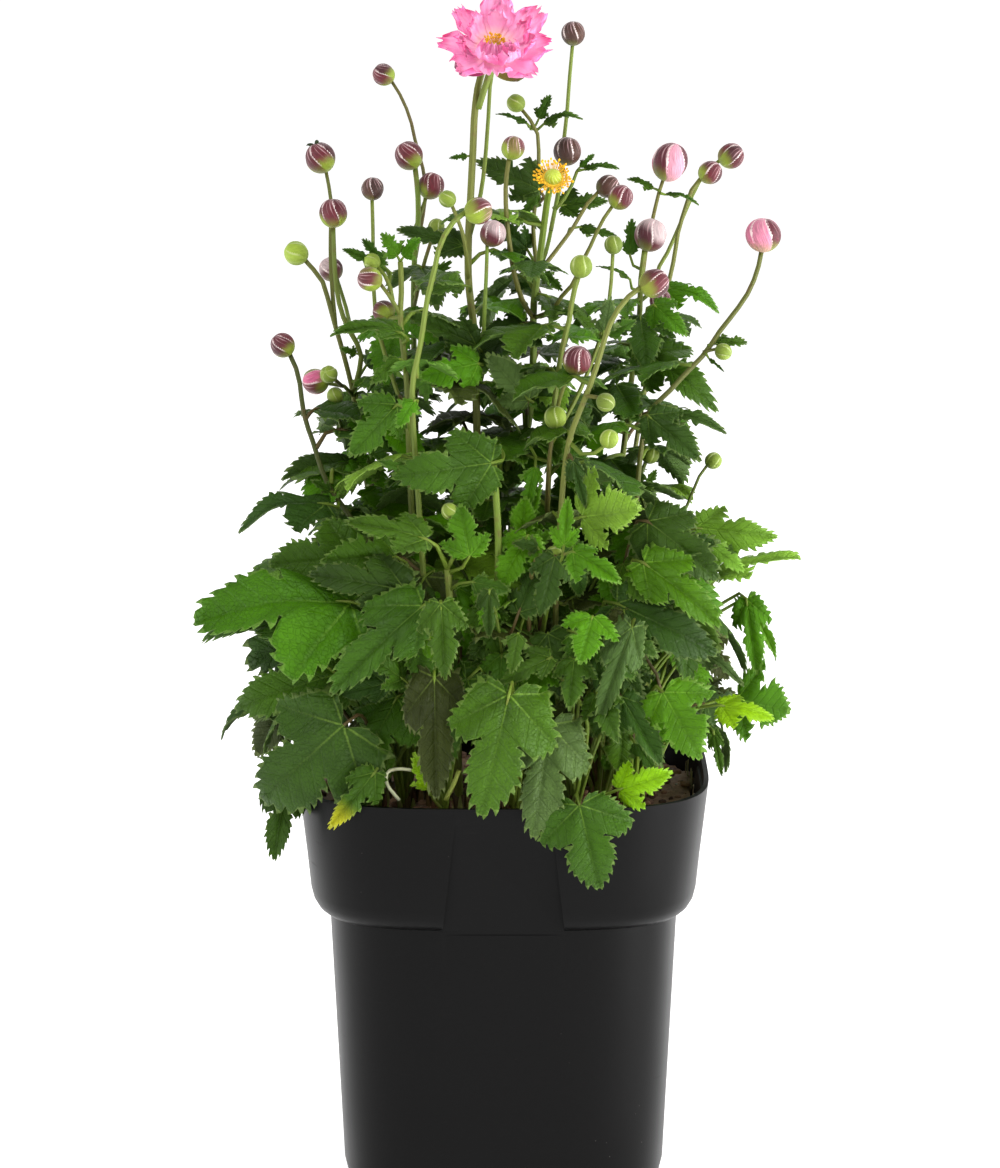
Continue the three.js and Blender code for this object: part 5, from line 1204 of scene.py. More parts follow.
def bud_material():
    """Flower bud: wine-red sepals with silky white margins and fine streaks, greener towards the stalk, and
    painted shadow along each sepal's tucked edge.
    """
    bench = Bench("bud_wine")
    paint, green = bench.attribute("paint"), bench.attribute("paint", 3)
    sector, height = bench.pair("blade")
    streaks = bench.noise(bench.flat("blade", (10, 1.2, 1)), 3.0, 5, 0.6)
    hairs = bench.noise(bench.flat("blade", (3.4, 0.4, 1)), 2.0, 2)
    colour = bench.shade(paint, streaks * 2.2 - 0.1)
    base = (height + streaks * 0.5 - 0.25 - (green - 0.8) * 0.4).step(0.54, 0.14) * green
    colour = bench.mix(base.clamped(), colour, bench.shade(linear(136, 156, 42), streaks * 1.0 + 0.42))
    seam = sector + streaks * 0.1
    edge = seam.step(1.015, 1.05) * height.step(0.2, 0.5) * (hairs * 0.9 + 0.4)
    groove = sector.step(0.07, 0.0)
    silk = hairs.step(0.55, 0.62) * height.step(0.4, 0.8) * 0.55
    colour = bench.mix(silk, colour, linear(222, 180, 184))
    colour = bench.mix((edge * 0.9).clamped(), colour, linear(240, 222, 218))
    # Painted shadow: a dark line along each sepal's hidden edge, where the next sepal overlaps it.
    colour = bench.mix(groove * 0.5, colour, linear(46, 18, 22))
    return bench.finish(
        base_color=colour, roughness=streaks * 0.2 + 0.36, sheen_weight=0.1, specular_ior_level=0.35,
        normal=bench.bump(streaks * 0.8 + hairs * 0.3 - groove, 0.6, 0.0006),
    )


def petal_material():
    """Soft pink petal with fine lengthwise streaks, a silky sheen and a faint painted glow."""
    bench = Bench("petal_pink")
    paint = bench.attribute("paint")
    streaks = bench.noise(bench.flat("blade", (26, 1.6, 1)), 1.0, 4, 0.6)
    patches = bench.noise(bench.place(), 220, 3)
    colour = bench.shade(paint, streaks * 0.36 + 0.84)
    colour = bench.mix(patches.step(0.5, 0.8) * 0.4, colour, linear(255, 208, 228))
    # The emission is painted light: the petals glow a little though nothing lights them from within.
    return bench.finish(
        base_color=colour, roughness=0.6, sheen_weight=0.05, specular_ior_level=0.2,
        emission_color=colour, emission_strength=0.12,
        normal=bench.bump(streaks, 0.35, 0.0005),
    )


def pollen_material():
    """Golden stamens: thread and pollen sac, grainy with pollen."""
    bench = Bench("stamen_gold")
    paint = bench.attribute("paint")
    grain = bench.noise(bench.place(), 2600, 2)
    return bench.finish(
        base_color=bench.shade(paint, grain * 0.8 + 0.6), roughness=0.75,
        normal=bench.bump(grain, 0.6, 0.0003),
    )


def pot_material(colour, roughness):
    """Satin moulded plastic, dark, with a fine grain, faint upright flow marks, dust and a few scuffs."""
    bench = Bench("pot_plastic")
    place = bench.place()
    grain = bench.noise(place, 1400, 2)
    cloud = bench.noise(place, 11, 4)
    flow = bench.noise(bench.place((60, 60, 1.2)), 1.0, 3)
    scratch = bench.noise(bench.place((26, 26, 420)), 1.0, 2).step(0.7, 0.8)
    specks = bench.cells(place, 150).step(0.05, 0.02) * cloud.step(0.5, 0.6)
    colour = bench.shade(colour, cloud * 0.7 + flow * 0.5 + 0.4)
    colour = bench.mix((specks * 0.3 + scratch * 0.03).clamped(), colour, linear(110, 106, 102))
    shine = cloud * 0.16 + flow * 0.1 + scratch * 0.1 + (roughness - 0.14)
    return bench.finish(
        base_color=colour, roughness=shine, specular_ior_level=0.12,
        normal=bench.bump(grain * 0.5 + flow * 0.5, 0.16, 0.0004),
    )


def soil_material():
    """Damp dark compost, redder and paler by crumbs."""
    bench = Bench("potting_soil")
    paint = bench.attribute("paint")
    place = bench.place()
    crumbs = bench.noise(place, 420, 5, 0.7)
    clumps = bench.noise(place, 90, 3)
    colour = bench.shade(paint, crumbs * 1.3 + clumps * 0.5 - 0.22)
    return bench.finish(
        base_color=colour, roughness=crumbs * 0.3 + 0.62,
        normal=bench.bump(crumbs + clumps * 0.5, 0.9, 0.0012),
    )


def floor_material(colour, glow):
    """Plain pale floor that glows a little, so that it shows as the photo's white ground."""
    bench = Bench("studio_floor")
    grain = bench.noise(bench.place(), 6, 3)
    colour = bench.shade(colour, grain * 0.02 + 0.98)
    return bench.finish(base_color=colour, roughness=0.8, emission_color=(1, 1, 1), emission_strength=glow)


MAKERS = dict(
    leaf=leaf_material,
    stem=stem_material,
    green_bud=green_bud_material,
    bud=bud_material,
    petal=petal_material,
    pollen=pollen_material,
    soil=soil_material,
)
MATERIALS = {}


def material(name):
    """A material by its kind, made the first time that it is asked for."""
    if name not in MATERIALS:
        MATERIALS[name] = MAKERS[name]()
    return MATERIALS[name]


# Buds

GLOBE = {}
# The silver that a frosted bud's sepals turn to.
SILVER = (186, 166, 166)
BRACT_ANGLES = (0.4, 2.2, 4.6)
BRACT_COURSE = ((0.1, 0.9), (0.42, 1.12), (0.6, 1.1))


def globe():
    """The points and faces of a fine ball, made once, on which every bud is shaped."""
    if not GLOBE:
        ball = primitive(bpy.ops.mesh.primitive_uv_sphere_add, segments=70, ring_count=18, radius=1)
        GLOBE["points"], GLOBE["faces"] = ball
    return GLOBE["points"], GLOBE["faces"]


def add_bud(heap, at, axis, radius, stretch, kind, look, number, sepals=5):
    """A closed bud of overlapping sepals: each rises from its hidden edge to its free edge."""
    points, faces = globe()
    at = Vector(at)
    rng = random.Random(number)
    around = np.arctan2(points[:, 1], points[:, 0]) / (2 * math.pi)
    height = (points[:, 2] + 1) / 2
    waist = np.hypot(points[:, 0], points[:, 1])
    twist = around + rng.random() + look.get("turn", 0) + 0.16 * (height - 0.5)
    sector = np.mod(sepals * twist, 1)
    rise = 1 + waist**0.6 * (0.075 * sector + 0.035 * np.sin(math.pi * sector) - 0.06)
    uneven = 1 + 0.02 * np.sin(2 * math.pi * around + 6 * rng.random())
    body = points.copy()
    body[:, 0] *= rise * uneven
    body[:, 1] *= rise * uneven
    dimple = 0.05 * np.exp(-((waist / 0.25) ** 2)) * (points[:, 2] > 0)
    body[:, 2] = body[:, 2] * stretch - dimple
    right = axis.orthogonal().normalized()
    placed = np.array(at) + (body @ np.array([right, axis.cross(right), axis])) * radius

    sepal = np.floor(sepals * twist) % sepals
    shades = np.array([linear(*tone) for tone in look["tones"]])
    paint = np.ones((len(points), 4))
    paint[:, :3] = shades[sepal.astype(int) % len(shades)]
    frosted = look.get("silver", 0) * np.clip((height - 0.46) / 0.24 + 0.7 * np.sin(2.4 * sepal), 0, 1)
    paint[:, :3] += (np.array(linear(*SILVER)) - paint[:, :3]) * frosted[:, None]
    paint[:, :3] *= 1 - look.get("dim", 0.15) * rng.random()
    paint[:, 3] = look.get("green", 1) * (0.75 + 0.25 * np.sin(2.4 * sepal + number))

    # A face across the seam where the sectors start anew keeps its coordinates together.
    pairs = np.stack([sector, height], axis=1)[[i for face in faces for i in face]]
    start = 0
    for face in faces:
        span = pairs[start:start + len(face)]
        if span[:, 0].max() - span[:, 0].min() > 0.5:
            span[:, 0] = np.where(span[:, 0] < 0.5, 1.0, span[:, 0])
        start += len(face)
    heap.add(placed, faces, kind, paint, veins=pairs)
    if look.get("bracts"):
        for angle in BRACT_ANGLES:
            out = right * math.cos(angle) + axis.cross(right) * math.sin(angle)
            course = [at + (out * aside + axis * up) * radius for aside, up in BRACT_COURSE]
            add_tube(heap, resampled(course, 4), [0.7, 0.9, 0.8, 0.5, 0.1], "stem", tint(40, 52, 22), 6)


# How buds look: tones are the colours of their sepals in turn, green is how far the green of the base
# reaches, silver how frosted the sepals are, turn how far they are turned, dim how much darker at most.
WINE = dict(tones=[(84, 20, 32), (98, 28, 40), (70, 22, 30)], green=1.0)
BROWNISH = dict(tones=[(66, 38, 28), (76, 46, 34), (58, 32, 26)], green=0.35)
LEAFY = dict(tones=[(146, 170, 56), (134, 158, 50), (154, 178, 66)], green=1, dim=0.5)
HALF_GREEN = dict(tones=[(98, 40, 44), (118, 104, 50), (104, 48, 48)], green=1.4)
BLUSHED = dict(
    tones=[(214, 128, 154), (90, 26, 42), (222, 150, 170), (82, 24, 38), (208, 112, 144)],
    green=0.7, turn=0.13,
)
SILVERY = dict(tones=[(84, 26, 38), (98, 38, 48), (72, 26, 36)], green=0.5, silver=0.92)
WHITISH = dict(tones=[(214, 220, 186), (196, 208, 160)], green=1)
# The flower buds, by number, that don't have the plain wine-red look.
BUD_LOOKS = {
    **dict.fromkeys((19, 25), BLUSHED),
    **dict.fromkeys((1, 6, 14, 15), BROWNISH),
    **dict.fromkeys((11, 13, 29), HALF_GREEN),
    **dict.fromkeys((12, 22, 27), SILVERY),
    5: dict(WINE, bracts=True),
    32: dict(tones=[(98, 36, 44), (210, 100, 140), (120, 124, 62)], green=1),
}
# The height below which the small buds of the stems are whitish.
WHITISH_BELOW = 290


def crown_of(plant):
    """The place in the plant's crown at which its stems and stalks start."""
    foot = turned(Vector((plant["root"][0], -plant["root"][1], 0)), plant.get("turn", 0))
    return Vector((foot.x, foot.y, SOIL_TOP + CROWN_HEIGHT - 4))


def coarse_line(points, each):
    """The solids' line through the points, from which stalks start."""
    length = sum((b - a).length for a, b in zip(points, points[1:]))
    return resampled(points, max(2, round(length / each)))


# How long the straight bits of the solids' stems and side stalks are.
STEM_BIT = 34
SIDE_BIT = 22


def laid_out_courses(plant, top):
    """A plant's courses with their lines in the solids, and its buds, each with its node's name."""
    lines, courses, buds = [], [], []
    for course in plant.get("courses", []):
        points = [seen(p) for p in course["to"]]
        if lines:
            points[0] = nearest_on(lines, points[0])
        else:
            points.insert(0, top.copy())
        if "bud" in course:
            where, radius, node = course["bud"]
            at = seen(where)
            axis = (at - points[-1]).normalized()
            stretch = course.get("stretch", 1.06)
            buds.append((node, dict(at=at, axis=axis, radius=radius, stretch=stretch)))
            points[-1] = at - axis * (radius * stretch * 0.9 if node else radius * 0.7)
        courses.append((points, course.get("radius", 1.0)))
        lines.append(coarse_line(points, SIDE_BIT if lines else STEM_BIT))
    return lines, courses, buds


def laid_out():
    """Every plant's courses, buds and leaves, in millimetres, laid out as in the solids."""
    plants = {}
    count = 0
    for name, plant in {**STEMS, **TUFTS, **back_tufts()}.items():
        top = crown_of(plant)
        lines, courses, buds = laid_out_courses(plant, top)
        leaves = []
        for number, leaf in enumerate(plant["leaves"]):
            count += 1
            own = dict(leaf, skew=math.sin(2.4 * count), number=count)
            if "root" in leaf:
                root = nearest_on(lines, seen(leaf["root"]))
            elif name.startswith("tuft"):
                out = seen(leaf["hub"], leaf.get("turn", 0)) - top
                out.z = 0
                root = top + out.normalized() * (0.45 * CROWN_RADIUS) - UP * (1.4 * (number % 4))
            else:
                root = nearest_on(lines, seen(leaf["hub"]))
                own["hub"] = [a + SESSILE * (b - a) for a, b in zip(leaf["hub"], leaf["tip"])]
            leaves.append((own, root))
        plants[name] = dict(top=top, courses=courses, lines=lines, buds=buds, leaves=leaves)
    return plants


def solid_corners(node):
    """The corners of a node of the solids, in millimetres, for finding the nearest."""
    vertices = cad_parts[node].data.vertices
    tree = kdtree.KDTree(len(vertices))
    for i, vertex in enumerate(vertices):
        tree.insert(vertex.co / MM, i)
    tree.balance()
    return tree


# The stubs and scales of old leaf stalks round a crown: how many, and their tones.
STUBS = 7
STUB_TONES = [(120, 98, 60), (92, 66, 44), (134, 140, 74)]


def add_crown(heap, top, rng):
    """The knobbly crown in the soil, with the stubs and scales of old leaf stalks round it."""
    steps = 9
    low, tall = SOIL_TOP - ROOT_DEPTH, ROOT_DEPTH + CROWN_HEIGHT
    line = [Vector((top.x, top.y, low + tall * i / steps)) for i in range(steps + 1)]
    radii = [CROWN_RADIUS * (0.96 - 0.3 * i / steps) * rng.uniform(0.9, 1.0) for i in range(steps + 1)]
    add_tube(heap, line, radii, "stem", tint(*STALK_BROWN), 10)
    for k in range(STUBS):
        angle = k * 2.4 + rng.random()
        out = Vector((math.cos(angle), math.sin(angle), 0))
        foot = Vector((top.x, top.y, SOIL_TOP - 2)) + out * 2.6
        bent = foot + out * rng.uniform(0.4, 1.6) + UP * rng.uniform(5, 12)
        line = resampled([foot, (foot + bent) / 2 + out * 0.7, bent], 4)
        add_tube(heap, line, [1.5, 1.3, 1.1, 0.8, 0.35], "stem", tint(*rng.choice(STUB_TONES)), 6)


# Stalks that stand clear in the photo, from a leaf's foot down to the crown.
LONE_STALKS = dict(stem_centre=[[(-6, 320, 57), (-4, 290, 62), (-4, 262, 60), (-3, 220, 44)]])

# The stems that the photo shows darker than the others.
STEM_SHADES = dict(
    stem_left_outer=0.35, stem_far_right=0.7, stem_left=0.75, stem_right_low=0.6, stem_left_back=0.8,
)


def stem_paint(name, flush):
    """Stem colour: olive green, here and there flushed purple-brown."""
    green, flushed = np.array(linear(108, 130, 50)), np.array(linear(98, 78, 50))
    return (*((green * (1 - flush) + flushed * flush) * STEM_SHADES.get(name, 1)), 1)


# How high a tuft's leaf starts to be a model for further ones, and their least length and height.
MODEL_FROM = 205
LEAST_LEAF = 24
LEAST_HEIGHT = SOIL_TOP + 16


def tuft_leaves(plant, count, rng):
    """Leaves under and behind a tuft's listed ones: the same, smaller, drawn in towards the middle."""
    models = [entry for entry in plant["leaves"] if entry[0]["hub"][1] > MODEL_FROM] or plant["leaves"]
    for k in range(count):
        leaf, root = models[k % len(models)]
        turn = leaf.get("turn", 0)
        foot, end = seen(leaf["hub"], turn), seen(leaf["tip"], turn)
        pull, swing = rng.uniform(0.5, 0.93), rng.uniform(-24, 24)
        size = max(LEAST_LEAF, (end - foot).length * rng.uniform(0.7, 1.0))
        place = turned(Vector((foot.x * pull, foot.y * pull, foot.z + rng.uniform(-34, 10))), swing)
        way = turned((end - foot).normalized(), swing)
        shake = Vector((rng.uniform(-0.4, 0.4), rng.uniform(-0.4, 0.4), rng.uniform(-0.5, 0.2)))
        tip = place + (way + shake).normalized() * size
        if min(tip.z, place.z) >= LEAST_HEIGHT:
            yield dict(foot=place, end=tip, turn=turn + swing, face=rng.uniform(10, 50)), root


# A stem's added leaves: where they start and end at most, how long they are at the bottom and how much
# shorter at the top, and how far forward they may reach, so that they stay behind the listed ones.
STEM_LEAVES_FROM = SOIL_TOP + 48
STEM_LEAVES_TO = 455
STEM_LEAF = 56
STEM_LEAF_LESS = 22
FRONT_REACH = 42


def foliage_half(height):
    """How far from the middle leaves stand at a height: the plant tapers."""
    return max(20, 97 - 0.45 * max(0, height - 310))


def stem_leaves(plant, count, rng):
    """Leaves all round the stem, shorter higher up, where the plant is wide enough for them."""
    line = plant["lines"][0]
    low, high = STEM_LEAVES_FROM, min(line[-1].z - 20, STEM_LEAVES_TO)
    for k in range(count):
        height = low + (high - low) * (k + rng.random()) / count
        near = min(line, key=lambda spot: abs(spot.z - height))
        root = nearest_on([line], Vector((near.x, near.y, height)))
        turn = GOLDEN_DEGREES * k + rng.uniform(-30, 30)
        out = turned(Vector((0, -1, 0)), turn)
        share = (height - low) / (STEM_LEAVES_TO - low)
        size = (STEM_LEAF - STEM_LEAF_LESS * share) * rng.uniform(0.8, 1.1)
        place = root + out * rng.uniform(5, 14) + UP * rng.uniform(0, 8)
        tip = place + (out * rng.uniform(0.75, 1.0) + UP * rng.uniform(-0.75, 0.1)).normalized() * size
        if math.hypot(tip.x, 1.1 * tip.y) < foliage_half(tip.z) and tip.y > -FRONT_REACH:
            yield dict(foot=place, end=tip, turn=turn, face=rng.uniform(30, 75)), root


# A random mix of leaf tones, weighted towards the lighter ones as painted light against the shade deep inside
# the plant.
EXTRA_TONES = ["dark", "mid", "mid", "dusky", "mid", "bright", "mid", "bright"]


def extra_leaves(name, plant, count):
    """Further leaves by a seeded rule that fill the plant out behind its listed ones."""
    rng = random.Random("fill " + name)
    rule = tuft_leaves if name.startswith("tuft") else stem_leaves
    for k, (leaf, root) in enumerate(rule(plant, count, rng)):
        tone = rng.choice(EXTRA_TONES)
        # Every fourth stem leaf takes a light tone: painted light for the shaded middle of the plant.
        if rule is stem_leaves and k % 4 == 0:
            tone = ("bright", "pale", "mid")[k // 4 % 3]
        number = 1000 + 17 * k + len(name)
        leaf.update(wide=rng.uniform(0.65, 0.95), tone=tone, skew=rng.uniform(-1, 1), number=number)
        yield leaf, root, rng.choice(BOWS)


# How deep the furrows of a stem are by its radius, and how long its straight bits are.
FURROWS = 0.07
COURSE_BIT = 7


def make_plant(name, plant, extra):
    """One stem or tuft with all its green: crown, stems, stalks, leaves and its small green buds."""
    heap = Heap()
    rng = random.Random(name)
    add_crown(heap, plant["top"], rng)
    for places in LONE_STALKS.get(name, []):
        line = even_points([*[seen(place) for place in places], plant["top"]], STALK_BIT)
        radii = [1.7 - 0.3 * i / len(line) for i in range(len(line))]
        add_tube(heap, line, radii, "stem", stem_paint(name, 0), 8, FURROWS)
    for points, radius in plant["courses"]:
        line = even_points(points, COURSE_BIT)
        last = len(line) - 1
        radii = [radius * (1.08 - 0.22 * i / last) for i in range(last + 1)]
        add_tube(heap, line, radii, "stem", stem_paint(name, rng.uniform(0, 0.75)), 10, FURROWS)
    if name == "stem_bloom":
        neck = seen(BLOOM_HEART) - BLOOM_AXIS * 3.7
        start = nearest_on(plant["lines"], seen(STEMS[name]["courses"][0]["to"][-3]))
        line = resampled([start, neck - BLOOM_AXIS * 5, neck], 6)
        radii = [1.5, 1.5, 1.5, 1.55, 1.65, 1.8, 1.9]
        add_tube(heap, line, radii, "stem", stem_paint(name, 0.2), 10, FURROWS)
    if name == "stem_centre":
        look = dict(tones=[(168, 186, 44), (176, 192, 54)])
        add_bud(heap, seen(SPENT_HEART), SPENT_AXIS, SPENT_RADIUS * 0.98, 1, "green_bud", look, 5, 12)
    for number, (node, bud) in enumerate(plant["buds"]):
        if not node:
            look = WHITISH if bud["at"].z < WHITISH_BELOW else LEAFY
            add_bud(heap, kind="green_bud", look=look, number=number + len(name), **bud)
    cad = solid_corners(name)
    for leaf, root in plant["leaves"]:
        settled, bow = as_placed(leaf, root, cad)
        add_leaf(heap, settled, root, bow, leaf["number"])
    for leaf, root, bow in extra_leaves(name, plant, extra):
        add_leaf(heap, leaf, root, bow, leaf["number"])
    heap.settle(name)


# Bloom

# The bloom's layers of petals: how many, their length, how far they lift from flat in degrees, how far
# from the heart they start, how deeply they are cupped, and how far the layer is turned, in petals.
PETAL_LAYERS = [
    (8, 24, 8, 3, 0.1, 0), (7, 20, 34, 3.4, 0.13, 0), (5, 14, 58, 5.2, 0.15, 0), (6, 18, 44, 4, 0.16, 0.5),
]
OUTER_LIFT = 8
# Into how many bits petals and sepals are divided, across and along, and half their thickness.
PETAL_BITS, PETAL_HALF = (17, 24), 0.2
SEPAL_BITS, SEPAL_HALF = (10, 14), 0.25
BLOOM_STAMENS = 48
SPENT_STAMENS = 88
# The petals' edges, those of the outer ones that hang lowest in a darker pink that is painted shade, their
# feet and their middles.
EDGE_PINK, LOW_SHADED_PINK, FOOT_CREAM, PALE_PINK = (
    np.array(linear(*tone)) for tone in ((222, 62, 132), (176, 40, 92), (255, 232, 206), (255, 208, 232))
)
# Dull outer sepals: turn from straight down, reach and tone.
SEPALS = [(0.62, 17, (132, 136, 60)), (-0.95, 18, (158, 52, 96))]


def make_bloom(pink):
    """The open flower: a cup of long ruffled petals with torn tips, short ones in front, two dull sepals."""
    heap = Heap()
    number = 0
    for layer in PETAL_LAYERS:
        for index in range(layer[0]):
            number += 1
            add_petal(heap, pink, number, index, *layer)
    heart = seen(BLOOM_HEART)
    steps = 5
    line = [heart - BLOOM_AXIS * (3.4 * (1 - i / steps)) for i in range(steps + 1)]
    add_tube(heap, line, [2.4, 3.4, 4.3, 4.8, 5.0, 4.6], "green_bud", tint(170, 190, 90), 20)
    for sepal in SEPALS:
        add_sepal(heap, heart, *sepal)
    heap.settle("bloom_petals")


def add_petal(heap, pink, number, index, count, length, lift, start, cup, shift):
    """One ruffled petal with a torn tip, deeper pink along its edges and cream at its foot."""
    rng = random.Random(number)
    side = Vector((1, 0, 0)).cross(BLOOM_AXIS).normalized()
    angle = 2 * math.pi * (index + shift + 0.37 * lift) / count
    out = side * math.cos(angle) + BLOOM_AXIS.cross(side) * math.sin(angle)
    tilt = math.radians(lift + 6 * math.sin(3 * index))
    low, aside = max(0, -out.z), abs(out.x)
    size = length * (1 + 0.08 * math.sin(5 * index + lift)) * (0.9 if shift else 1) * (1 - 0.14 * low)
    along = out * math.cos(tilt) + BLOOM_AXIS * math.sin(tilt)
    face = BLOOM_AXIS * math.cos(tilt) - out * math.sin(tilt)
    across = along.cross(face)
    base = seen(BLOOM_HEART) + out * start
    curl = 0.55 * low + rng.uniform(-0.1, 0.12)
    narrow = rng.uniform(0.72, 0.95) * (0.84 if out.z > 0.3 and lift < 40 else 1)
    phase, notch = rng.uniform(0, 6), rng.uniform(0.05, 0.16)
    ground = np.array(linear(*pink)) * rng.uniform(0.88, 1.0)
    # The outer petals that hang lowest take a darker edge pink: painted shade under the flower.
    deep = LOW_SHADED_PINK if low > 0.93 and lift == OUTER_LIFT else EDGE_PINK

    def spot(u, v):
        half = narrow * np.interp(v, [0, 0.3, 0.66, 0.86, 1], [0.1, 0.24, 0.37, 0.36, 0.24])
        torn = 0.045 * math.sin(13 * u + phase) + 0.04 * math.sin(23 * u + 2 * phase)
        tip = torn - notch * math.exp(-(((u - 0.2) / 0.2) ** 2)) - 0.2 * u**4
        reach = v * (1 + tip * max(0, v - 0.4) / 0.6)
        x = u * half * (1 + 0.06 * math.sin(17 * v + phase) * abs(u))
        wave = 0.07 * math.sin(8 * v + 5 * x + phase) + 0.06 * math.sin(9 * u + 2 * phase) * (0.4 + abs(u))
        height = -4 * cup * v * (1 - v) + 0.5 * x * x + wave * max(0, v - 0.2) + curl * v**2
        return base + across * (x * size) + along * (reach * size) + face * (height * size)

    def shade(u, v):
        tip = max(0, v - 0.72) / 0.28 * (0.2 + 0.8 * aside**2)
        edge = min(0.8, (max(0, abs(u) - 0.66) / 0.34 * 0.3 + tip) * rng.uniform(0.85, 1.15))
        middle = max(0, 1 - abs(u) * 1.6) * v * 0.5
        foot = 0.8 * max(0, 1 - v / 0.4)
        colour = (ground * (1 - middle) + PALE_PINK * middle) * (1 - edge) + deep * edge
        return colour * (1 - foot) + FOOT_CREAM * foot

    add_sheet(heap, *PETAL_BITS, spot, shade, face, PETAL_HALF)


def add_sepal(heap, heart, turn, reach, tone):
    """A dull outer sepal cupped under the flower, turned sideways from straight down."""
    down = (Vector((0, 0, -1)) + Vector((0, -0.5, 0))).normalized()
    down = (down - BLOOM_AXIS * down.dot(BLOOM_AXIS)).normalized()
    out = down * math.cos(turn) + BLOOM_AXIS.cross(down) * math.sin(turn)
    across = BLOOM_AXIS.cross(out)

    def spot(u, v):
        half = 0.42 * math.sin(math.pi * (0.12 + 0.84 * v)) ** 0.7
        rise = -3.4 - 0.12 * reach * v + 0.3 * reach * v * v + 0.3 * reach * (u * half) ** 2
        return heart + out * (3 + reach * v) + across * (u * half * reach) + BLOOM_AXIS * rise

    def shade(u, v):
        return np.array(linear(*tone)) * (1 - 0.55 * max(0, v - 0.7) / 0.3 - 0.25 * abs(u))

    add_sheet(heap, *SEPAL_BITS, spot, shade, BLOOM_AXIS, SEPAL_HALF)


def add_sheet(heap, wide, long, spot, shade, face, half):
    """A thin closed sheet. spot and shade give its place and colour for shares across and along."""
    points, paint, shares = [], [], []
    for i in range(long + 1):
        for j in range(wide + 1):
            u, v = 2 * j / wide - 1, i / long
            points.append(tuple(spot(u, v)))
            paint.append((*shade(u, v), 1))
            shares.append((u, v))
    points = kept_inside(np.array(points))
    lift = np.array(face) * half
    faces, walls = closed_grid(wide + 1, long + 1)
    heap.add([*(points + lift), *(points - lift)], faces + walls, "petal", paint * 2, shares * 2)


def closed_grid(columns, rows):
    """Faces of a grid with a second one under it, turned over, and the walls between their edges."""
    count = columns * rows
    faces = []
    for i in range(rows - 1):
        for j in range(columns - 1):
            a, d = i * columns + j, (i + 1) * columns + j
            faces += [(a, a + 1, d + 1, d), (count + d, count + d + 1, count + a + 1, count + a)]
    last = columns - 1
    ring = [*range(columns), *(i * columns + last for i in range(1, rows))]
    ring += [(rows - 1) * columns + j for j in range(last - 1, -1, -1)]
    ring += [i * columns for i in range(rows - 2, 0, -1)]
    walls = [(b, a, count + a, count + b) for a, b in zip(ring, ring[1:] + ring[:1])]
    return faces, walls


def add_stamen(heap, foot, way, bend, reach, rng):
    """One stamen: a bent thread with a pollen sac on its end."""
    tip = foot + way * reach + bend * (0.25 * reach)
    line = resampled([foot, foot + way * (0.55 * reach), tip], 4)
    add_tube(heap, line, [0.2, 0.17, 0.16, 0.16, 0.15], "pollen", tint(236, 190, 60), 5)
    end = (line[-1] - line[-2]).normalized()
    sac = [line[-1] + end * s for s in (-0.35, 0.0, 0.5, 0.95)]
    gold = np.array(linear(246, 186, 22)) * rng.uniform(0.7, 1.1)
    add_tube(heap, sac, [0.2, 0.52, 0.5, 0.16], "pollen", (*gold, 1), 6)


def spread_ways(axis, count, least, most, rng):
    """Directions spread round an axis, each risen towards it by a random angle: outwards, and as risen."""
    side = axis.orthogonal().normalized()
    other = axis.cross(side)
    for k in range(count):
        angle = GOLDEN_ANGLE * k
        out = side * math.cos(angle) + other * math.sin(angle)
        rise = rng.uniform(least, most)
        yield out, (out * math.cos(rise) + axis * math.sin(rise)).normalized()


def make_bloom_stamens():
    """The ring of stamens round a dome of carpels in the open flower."""
    heap = Heap()
    heart = seen(BLOOM_HEART)
    rng = random.Random(3)
    dome = dict(tones=[(206, 176, 44), (196, 160, 36)])
    add_bud(heap, heart + BLOOM_AXIS * 1.0, BLOOM_AXIS, 2.0, 0.8, "green_bud", dome, 9, 14)
    for k, (out, way) in enumerate(spread_ways(BLOOM_AXIS, BLOOM_STAMENS, 0.95, 1.4, rng)):
        ring = 1.5 + 1.0 * (k % 4) / 3
        foot = heart + BLOOM_AXIS * 0.6 + out * ring * 0.8
        add_stamen(heap, foot, way, out, rng.uniform(2.8, 4.4), rng)
    heap.settle("bloom_stamens")


def make_spent_stamens():
    """The collar and the ring of stamens round the green head that has lost its petals."""
    heap = Heap()
    heart = seen(SPENT_HEART) - SPENT_AXIS * 1.2
    rng = random.Random(4)
    collar = resampled([heart - SPENT_AXIS * 0.5, heart, heart + SPENT_AXIS * 0.9], 3)
    add_tube(heap, collar, [4.3, 5.0, 4.9, 4.25], "pollen", tint(222, 184, 48), 26)
    for out, way in spread_ways(SPENT_AXIS, SPENT_STAMENS, -0.35, 0.9, rng):
        foot = heart + out * 4.3 + SPENT_AXIS * 0.4
        add_stamen(heap, foot, way, SPENT_AXIS, rng.uniform(1.6, 4.6), rng)
    heap.settle("spent_stamens")


# Pot and soil

def plan_reach(angle):
    """How far the rounded-square plan reaches in a direction, for a half width of one."""
    return (abs(math.cos(angle)) ** PLAN_POWER + abs(math.sin(angle)) ** PLAN_POWER) ** (-1 / PLAN_POWER)


def pot_profile(inwards):
    """The pot's outer outline as [half width, height], softly turned under the collar and at the base."""

    def taper(height):
        return BASE_HALF + (BODY_TOP_HALF - BASE_HALF) * height / BODY_TOP

    outline = [
        (taper(0) - 5, 0), (taper(1) - 2.6, 0.9), (taper(3) - 1, 2.9), (taper(8), 8), (taper(40), 40),
        (taper(84), 84), (BODY_TOP_HALF, BODY_TOP), (82.4, 126.9), (85.0, 129.2), (86.8, 132.4),
        (87.8, 136.5), (89.4, 152), (91.3, 168), (RIM_HALF, POT_HEIGHT),
    ]
    return [(half - inwards, height) for half, height in outline]


